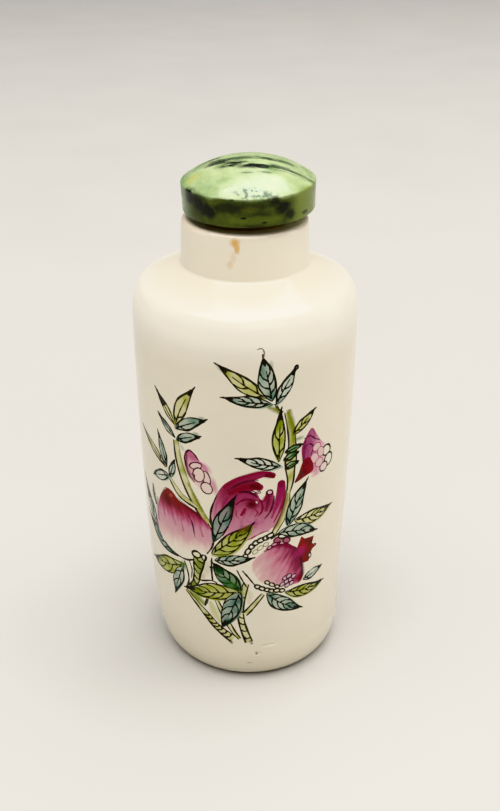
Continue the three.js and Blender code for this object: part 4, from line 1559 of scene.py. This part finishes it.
# %% Stone material
SAGE, DEEP_SAGE, PALE_SAGE = pigment(146, 163, 114), pigment(114, 138, 90), pigment(168, 180, 134)
BLACK_GREEN, DARK_GREEN, BLUE_GREEN = pigment(8, 16, 6), pigment(22, 46, 16), pigment(52, 76, 62)
DARK_OLIVE, BAND_OLIVE, LIT_GREEN = pigment(34, 44, 8), pigment(72, 84, 24), pigment(118, 132, 58)
STONE_MARKS = [  # kind, tint, centre and reach in millimetres, strength
    ("patch", pigment(168, 170, 84), (-6.5, -2.4, 71.4), (1.3, 1.0, 1.0), 0.5),
    ("streak", DARK_GREEN, (-4.4, 1.3, 72.5), (1.3, 0.7, 2.5), 0.9),
    ("streak", BLACK_GREEN, (-3.4, -0.6, 73.0), (1.5, 0.9, 2.5), 0.9),
    ("streak", BLACK_GREEN, (-1.4, -2.2, 73.0), (1.9, 0.7, 2.5), 1.0),
    ("streak", BLACK_GREEN, (1.4, -3.0, 73.0), (2.4, 0.6, 2.5), 1.0),
    ("streak", DARK_GREEN, (4.4, -2.7, 72.5), (2.0, 0.6, 2.5), 0.8),
    ("streak", DARK_GREEN, (7.2, -2.6, 71.5), (1.5, 0.5, 2.5), 0.7),
    ("streak", DARK_GREEN, (0.4, -0.5, 73.0), (3.4, 0.6, 2.5), 0.8),
    ("streak", DARK_GREEN, (4.2, -0.5, 73.0), (2.6, 0.6, 2.5), 0.7),
    ("streak", DARK_GREEN, (0.3, -4.5, 72.5), (0.8, 0.25, 2.5), 0.7),
    ("streak", DARK_GREEN, (2.5, -4.3, 72.5), (1.0, 0.25, 2.5), 0.6),
    ("mottle", BLUE_GREEN, (1.3, -7.8, 71.1), (2.7, 0.9, 0.8), 0.8),
    ("patch", DARK_GREEN, (-6.9, -4.9, 70.9), (0.7, 0.6, 0.4), 0.75),
    ("patch", BLACK_GREEN, (-6.9, -4.7, 69.8), (1.0, 1.2, 1.0), 1.0),
    ("patch", BLACK_GREEN, (-5.7, -6.1, 69.2), (1.1, 1.0, 1.1), 1.0),
    ("patch", BLACK_GREEN, (-4.5, -7.0, 68.7), (1.3, 1.0, 0.9), 1.0),
    ("patch", BLACK_GREEN, (-2.0, -8.2, 69.3), (1.7, 1.0, 0.6), 0.8),
    ("patch", BLACK_GREEN, (0.6, -8.3, 69.6), (2.2, 1.0, 0.4), 0.5),
    ("patch", pigment(92, 92, 18), (0.6, -8.4, 69.2), (1.0, 0.8, 0.35), 0.35),
    ("patch", pigment(92, 106, 32), (1.4, -8.2, 67.9), (3.4, 1.2, 0.5), 0.6),
    ("patch", BLACK_GREEN, (3.6, -7.9, 70.1), (0.8, 0.9, 0.6), 0.85),
    ("patch", BLACK_GREEN, (4.5, -7.4, 69.3), (1.0, 0.9, 0.8), 1.0),
    ("patch", BLACK_GREEN, (5.5, -6.8, 68.3), (0.7, 0.9, 0.6), 0.9),
    ("dot", BLACK_GREEN, (-0.1, -8.4, 68.2), (0.40, 0.8, 0.16), 1.0),
    ("dot", BLACK_GREEN, (2.4, -8.2, 67.6), (0.34, 0.8, 0.15), 1.0),
    ("dot", BLACK_GREEN, (7.4, -4.9, 67.9), (0.45, 0.8, 0.25), 0.8),
    ("dot", DARK_GREEN, (-1.5, -8.2, 70.4), (0.35, 0.8, 0.16), 0.8),
]


def stone_material():
    material, tree, shader = new_material("green_stone")
    place = put(tree, "ShaderNodeTexCoord").outputs["Object"]
    axes = put(tree, "ShaderNodeSeparateXYZ", {0: place}).outputs
    sage = blend(tree, clouds(tree, 5, 2.4, 4), opaque(SAGE), opaque(DEEP_SAGE))
    sage = blend(tree, clouds(tree, 2.2, 3.0, 5, (0.01, 0, 0)), sage, opaque(PALE_SAGE))
    olive = blend(tree, clouds(tree, 2.6, 3.4, 5, (0, 0.02, 0)), opaque(DARK_OLIVE), opaque(BAND_OLIVE))
    band_top = (HEIGHT + CAP_CLEARANCE + CAP_BAND) * MM
    wobble = times(tree, minus(tree, clouds(tree, 2.5, 1.5, 4), 0.5), 0.9 * MM)
    tilted = minus(tree, axes["Z"], times(tree, axes["X"], math.tan(TILT_RIGHT)))
    level = plus(tree, tilted, wobble)
    colour = blend(tree, ramp(tree, level, band_top + 0.1 * MM, band_top - 0.6 * MM), sage, olive)
    lit_through = ramp(tree, plus(tree, axes["X"], wobble), 4.8 * MM, 7.2 * MM, 0, 0.85)
    below_rim = ramp(tree, level, band_top + 0.3 * MM, band_top - 0.2 * MM)
    colour = blend(tree, times(tree, lit_through, below_rim), colour, opaque(LIT_GREEN))
    # painted shade: towards the left edge the colour turns to deep sage, darker on the dome, on the side away
    # from the lights
    colour = blend(tree, ramp(tree, axes["X"], -6.2 * MM, -7.8 * MM, 0, 0.8), colour, opaque(DEEP_SAGE))
    drawn_out = put(tree, "ShaderNodeMapping",
                    {"Vector": place, "Rotation": (0, 0, math.radians(5)), "Scale": (260, 1900, 260)})
    grain = put(tree, "ShaderNodeTexNoise", {"Vector": drawn_out.outputs[0], "Scale": 1.0, "Detail": 4.0})
    texture = {"streak": ramp(tree, grain.outputs["Fac"], 0.34, 0.50),
               "mottle": ramp(tree, clouds(tree, 0.5, 1.6, 4), 0.38, 0.66)}
    dull = 0.0
    for kind, tint, centre, reach, strength in STONE_MARKS:
        mask = times(tree, blot(tree, centre, reach, 1.2, 0.9, 0.7), strength)
        if kind in texture:
            mask = times(tree, mask, texture[kind])
        if kind == "mottle":
            dull = plus(tree, mask, dull)
        colour = blend(tree, mask, colour, opaque(tint))
    polish = ramp(tree, clouds(tree, 1.6, 2.5, 5), 0, 1, 0.14, 0.34)
    feed(tree, shader, {
        "Base Color": colour,
        "Roughness": plus(tree, polish, times(tree, dull, 0.5)),
        "Normal": bumped(tree, times(tree, clouds(tree, 1.1, 1.0, 5), 0.05), 0.5),
        "Subsurface Weight": 0.12,
        "Subsurface Radius": (0.6, 1.0, 0.4),
        "Subsurface Scale": 0.8 * MM,
        "IOR": 1.55,
        "Specular IOR Level": ramp(tree, level, band_top, band_top + 0.8 * MM, 0.35, 0.9),
    })
    return material


stone = stone_material()
cap_mesh = turned_form("stone_cap", cap_profile(), ROUND, stone)
cap_mesh.transform(STOPPER_PLACE @ Matrix.Translation((CAP_OFFSET * MM, 0, 0)))
cap = show(bpy.data.objects.new("stone_cap", cap_mesh))
print(len(cap_mesh.polygons), "faces in the cap")

# %% [markdown]
# ## The cork
#
# The cork under the cap is nearly hidden: only a dark ring of it shows in the gap above the lip. It is still
# a real tapered plug with its edge broken, in a brown that is mottled by darker pores.

# %% Cork
CORK_TOP_RADIUS, CORK_BOTTOM_RADIUS, CORK_LENGTH = 5.25, 4.85, 7.7
CORK_EASE, GLUE_GAP = 0.5, 0.3
CORK_ROUND = ROUND // 2


def cork_profile():
    bottom = -GLUE_GAP - CORK_LENGTH
    ring = eased([(3.6, bottom), (CORK_BOTTOM_RADIUS, bottom), (CORK_TOP_RADIUS, -GLUE_GAP),
                  (3.6, -GLUE_GAP)], CORK_EASE, 4)
    side = [(CORK_BOTTOM_RADIUS + (CORK_TOP_RADIUS - CORK_BOTTOM_RADIUS) * t, bottom + CORK_LENGTH * t)
            for t in (0.2, 0.4, 0.6, 0.8)]
    return [(0, bottom), (2.0, bottom), *ring[:6], *side, *ring[6:], (2.0, -GLUE_GAP), (0, -GLUE_GAP)]


def cork_material():
    material, tree, shader = new_material("cork")
    place = put(tree, "ShaderNodeTexCoord").outputs["Object"]
    cells = put(tree, "ShaderNodeTexVoronoi", {"Vector": place, "Scale": 900.0}).outputs["Distance"]
    pores = times(tree, ramp(tree, cells, 0.32, 0.12), clouds(tree, 2.0, 4.0))
    tan, brown = opaque(pigment(168, 124, 80)), opaque(pigment(132, 90, 54))
    colour = blend(tree, clouds(tree, 1.4, 2.5, 5), tan, brown)
    feed(tree, shader, {
        "Base Color": blend(tree, pores, colour, opaque(pigment(58, 36, 22))),
        "Roughness": ramp(tree, clouds(tree, 1.0, 2.0), 0, 1, 0.75, 0.95),
        "Normal": bumped(tree, times(tree, pores, -0.15)),
    })
    return material


cork_mesh = turned_form("cork_plug", cork_profile(), CORK_ROUND, cork_material())
cork_mesh.transform(STOPPER_PLACE)
cork = show(bpy.data.objects.new("cork_plug", cork_mesh))
print(len(cork_mesh.polygons), "faces in the cork")

# %% [markdown]
# ## The floor
#
# A plain pale floor, large enough to fill the view. A trace of unevenness in its sheen keeps it from looking
# like a blank.


# %% Floor
def floor_material():
    material, tree, shader = new_material("pale_floor")
    sheen = ramp(tree, clouds(tree, 40, 1.5), 0, 1, 0.5, 0.62)
    feed(tree, shader, {"Base Color": opaque(pigment(176, 173, 167)), "Roughness": sheen})
    return material


FLOOR_HALF = 1.6  # metres
floor_mesh = bpy.data.meshes.new("floor")
floor_mesh.from_pydata([(x * FLOOR_HALF, y * FLOOR_HALF, 0) for x, y in ((-1, -1), (1, -1), (1, 1), (-1, 1))],
                       [], [(0, 1, 2, 3)])
floor_mesh.materials.append(floor_material())
floor = show(bpy.data.objects.new("floor", floor_mesh))
print("floor", 2 * FLOOR_HALF, "m across")

# %% [markdown]
# ## Joining the frame
#
# Each dressed piece rides on the one rigid body and stands in for its plain solid, which is hidden. Its finish
# is the material that it was built with, named in the table.

# %% Pieces, slots and bodies
PIECES = [(bottle, "bottle", "painted_porcelain"), (cap, "stopper_cap", "green_stone"),
          (cork, "stopper_cork", "cork")]
for piece, node, slot in PIECES:
    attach(piece, "root")
    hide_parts(node)
    print(piece.name, "stands for", node)
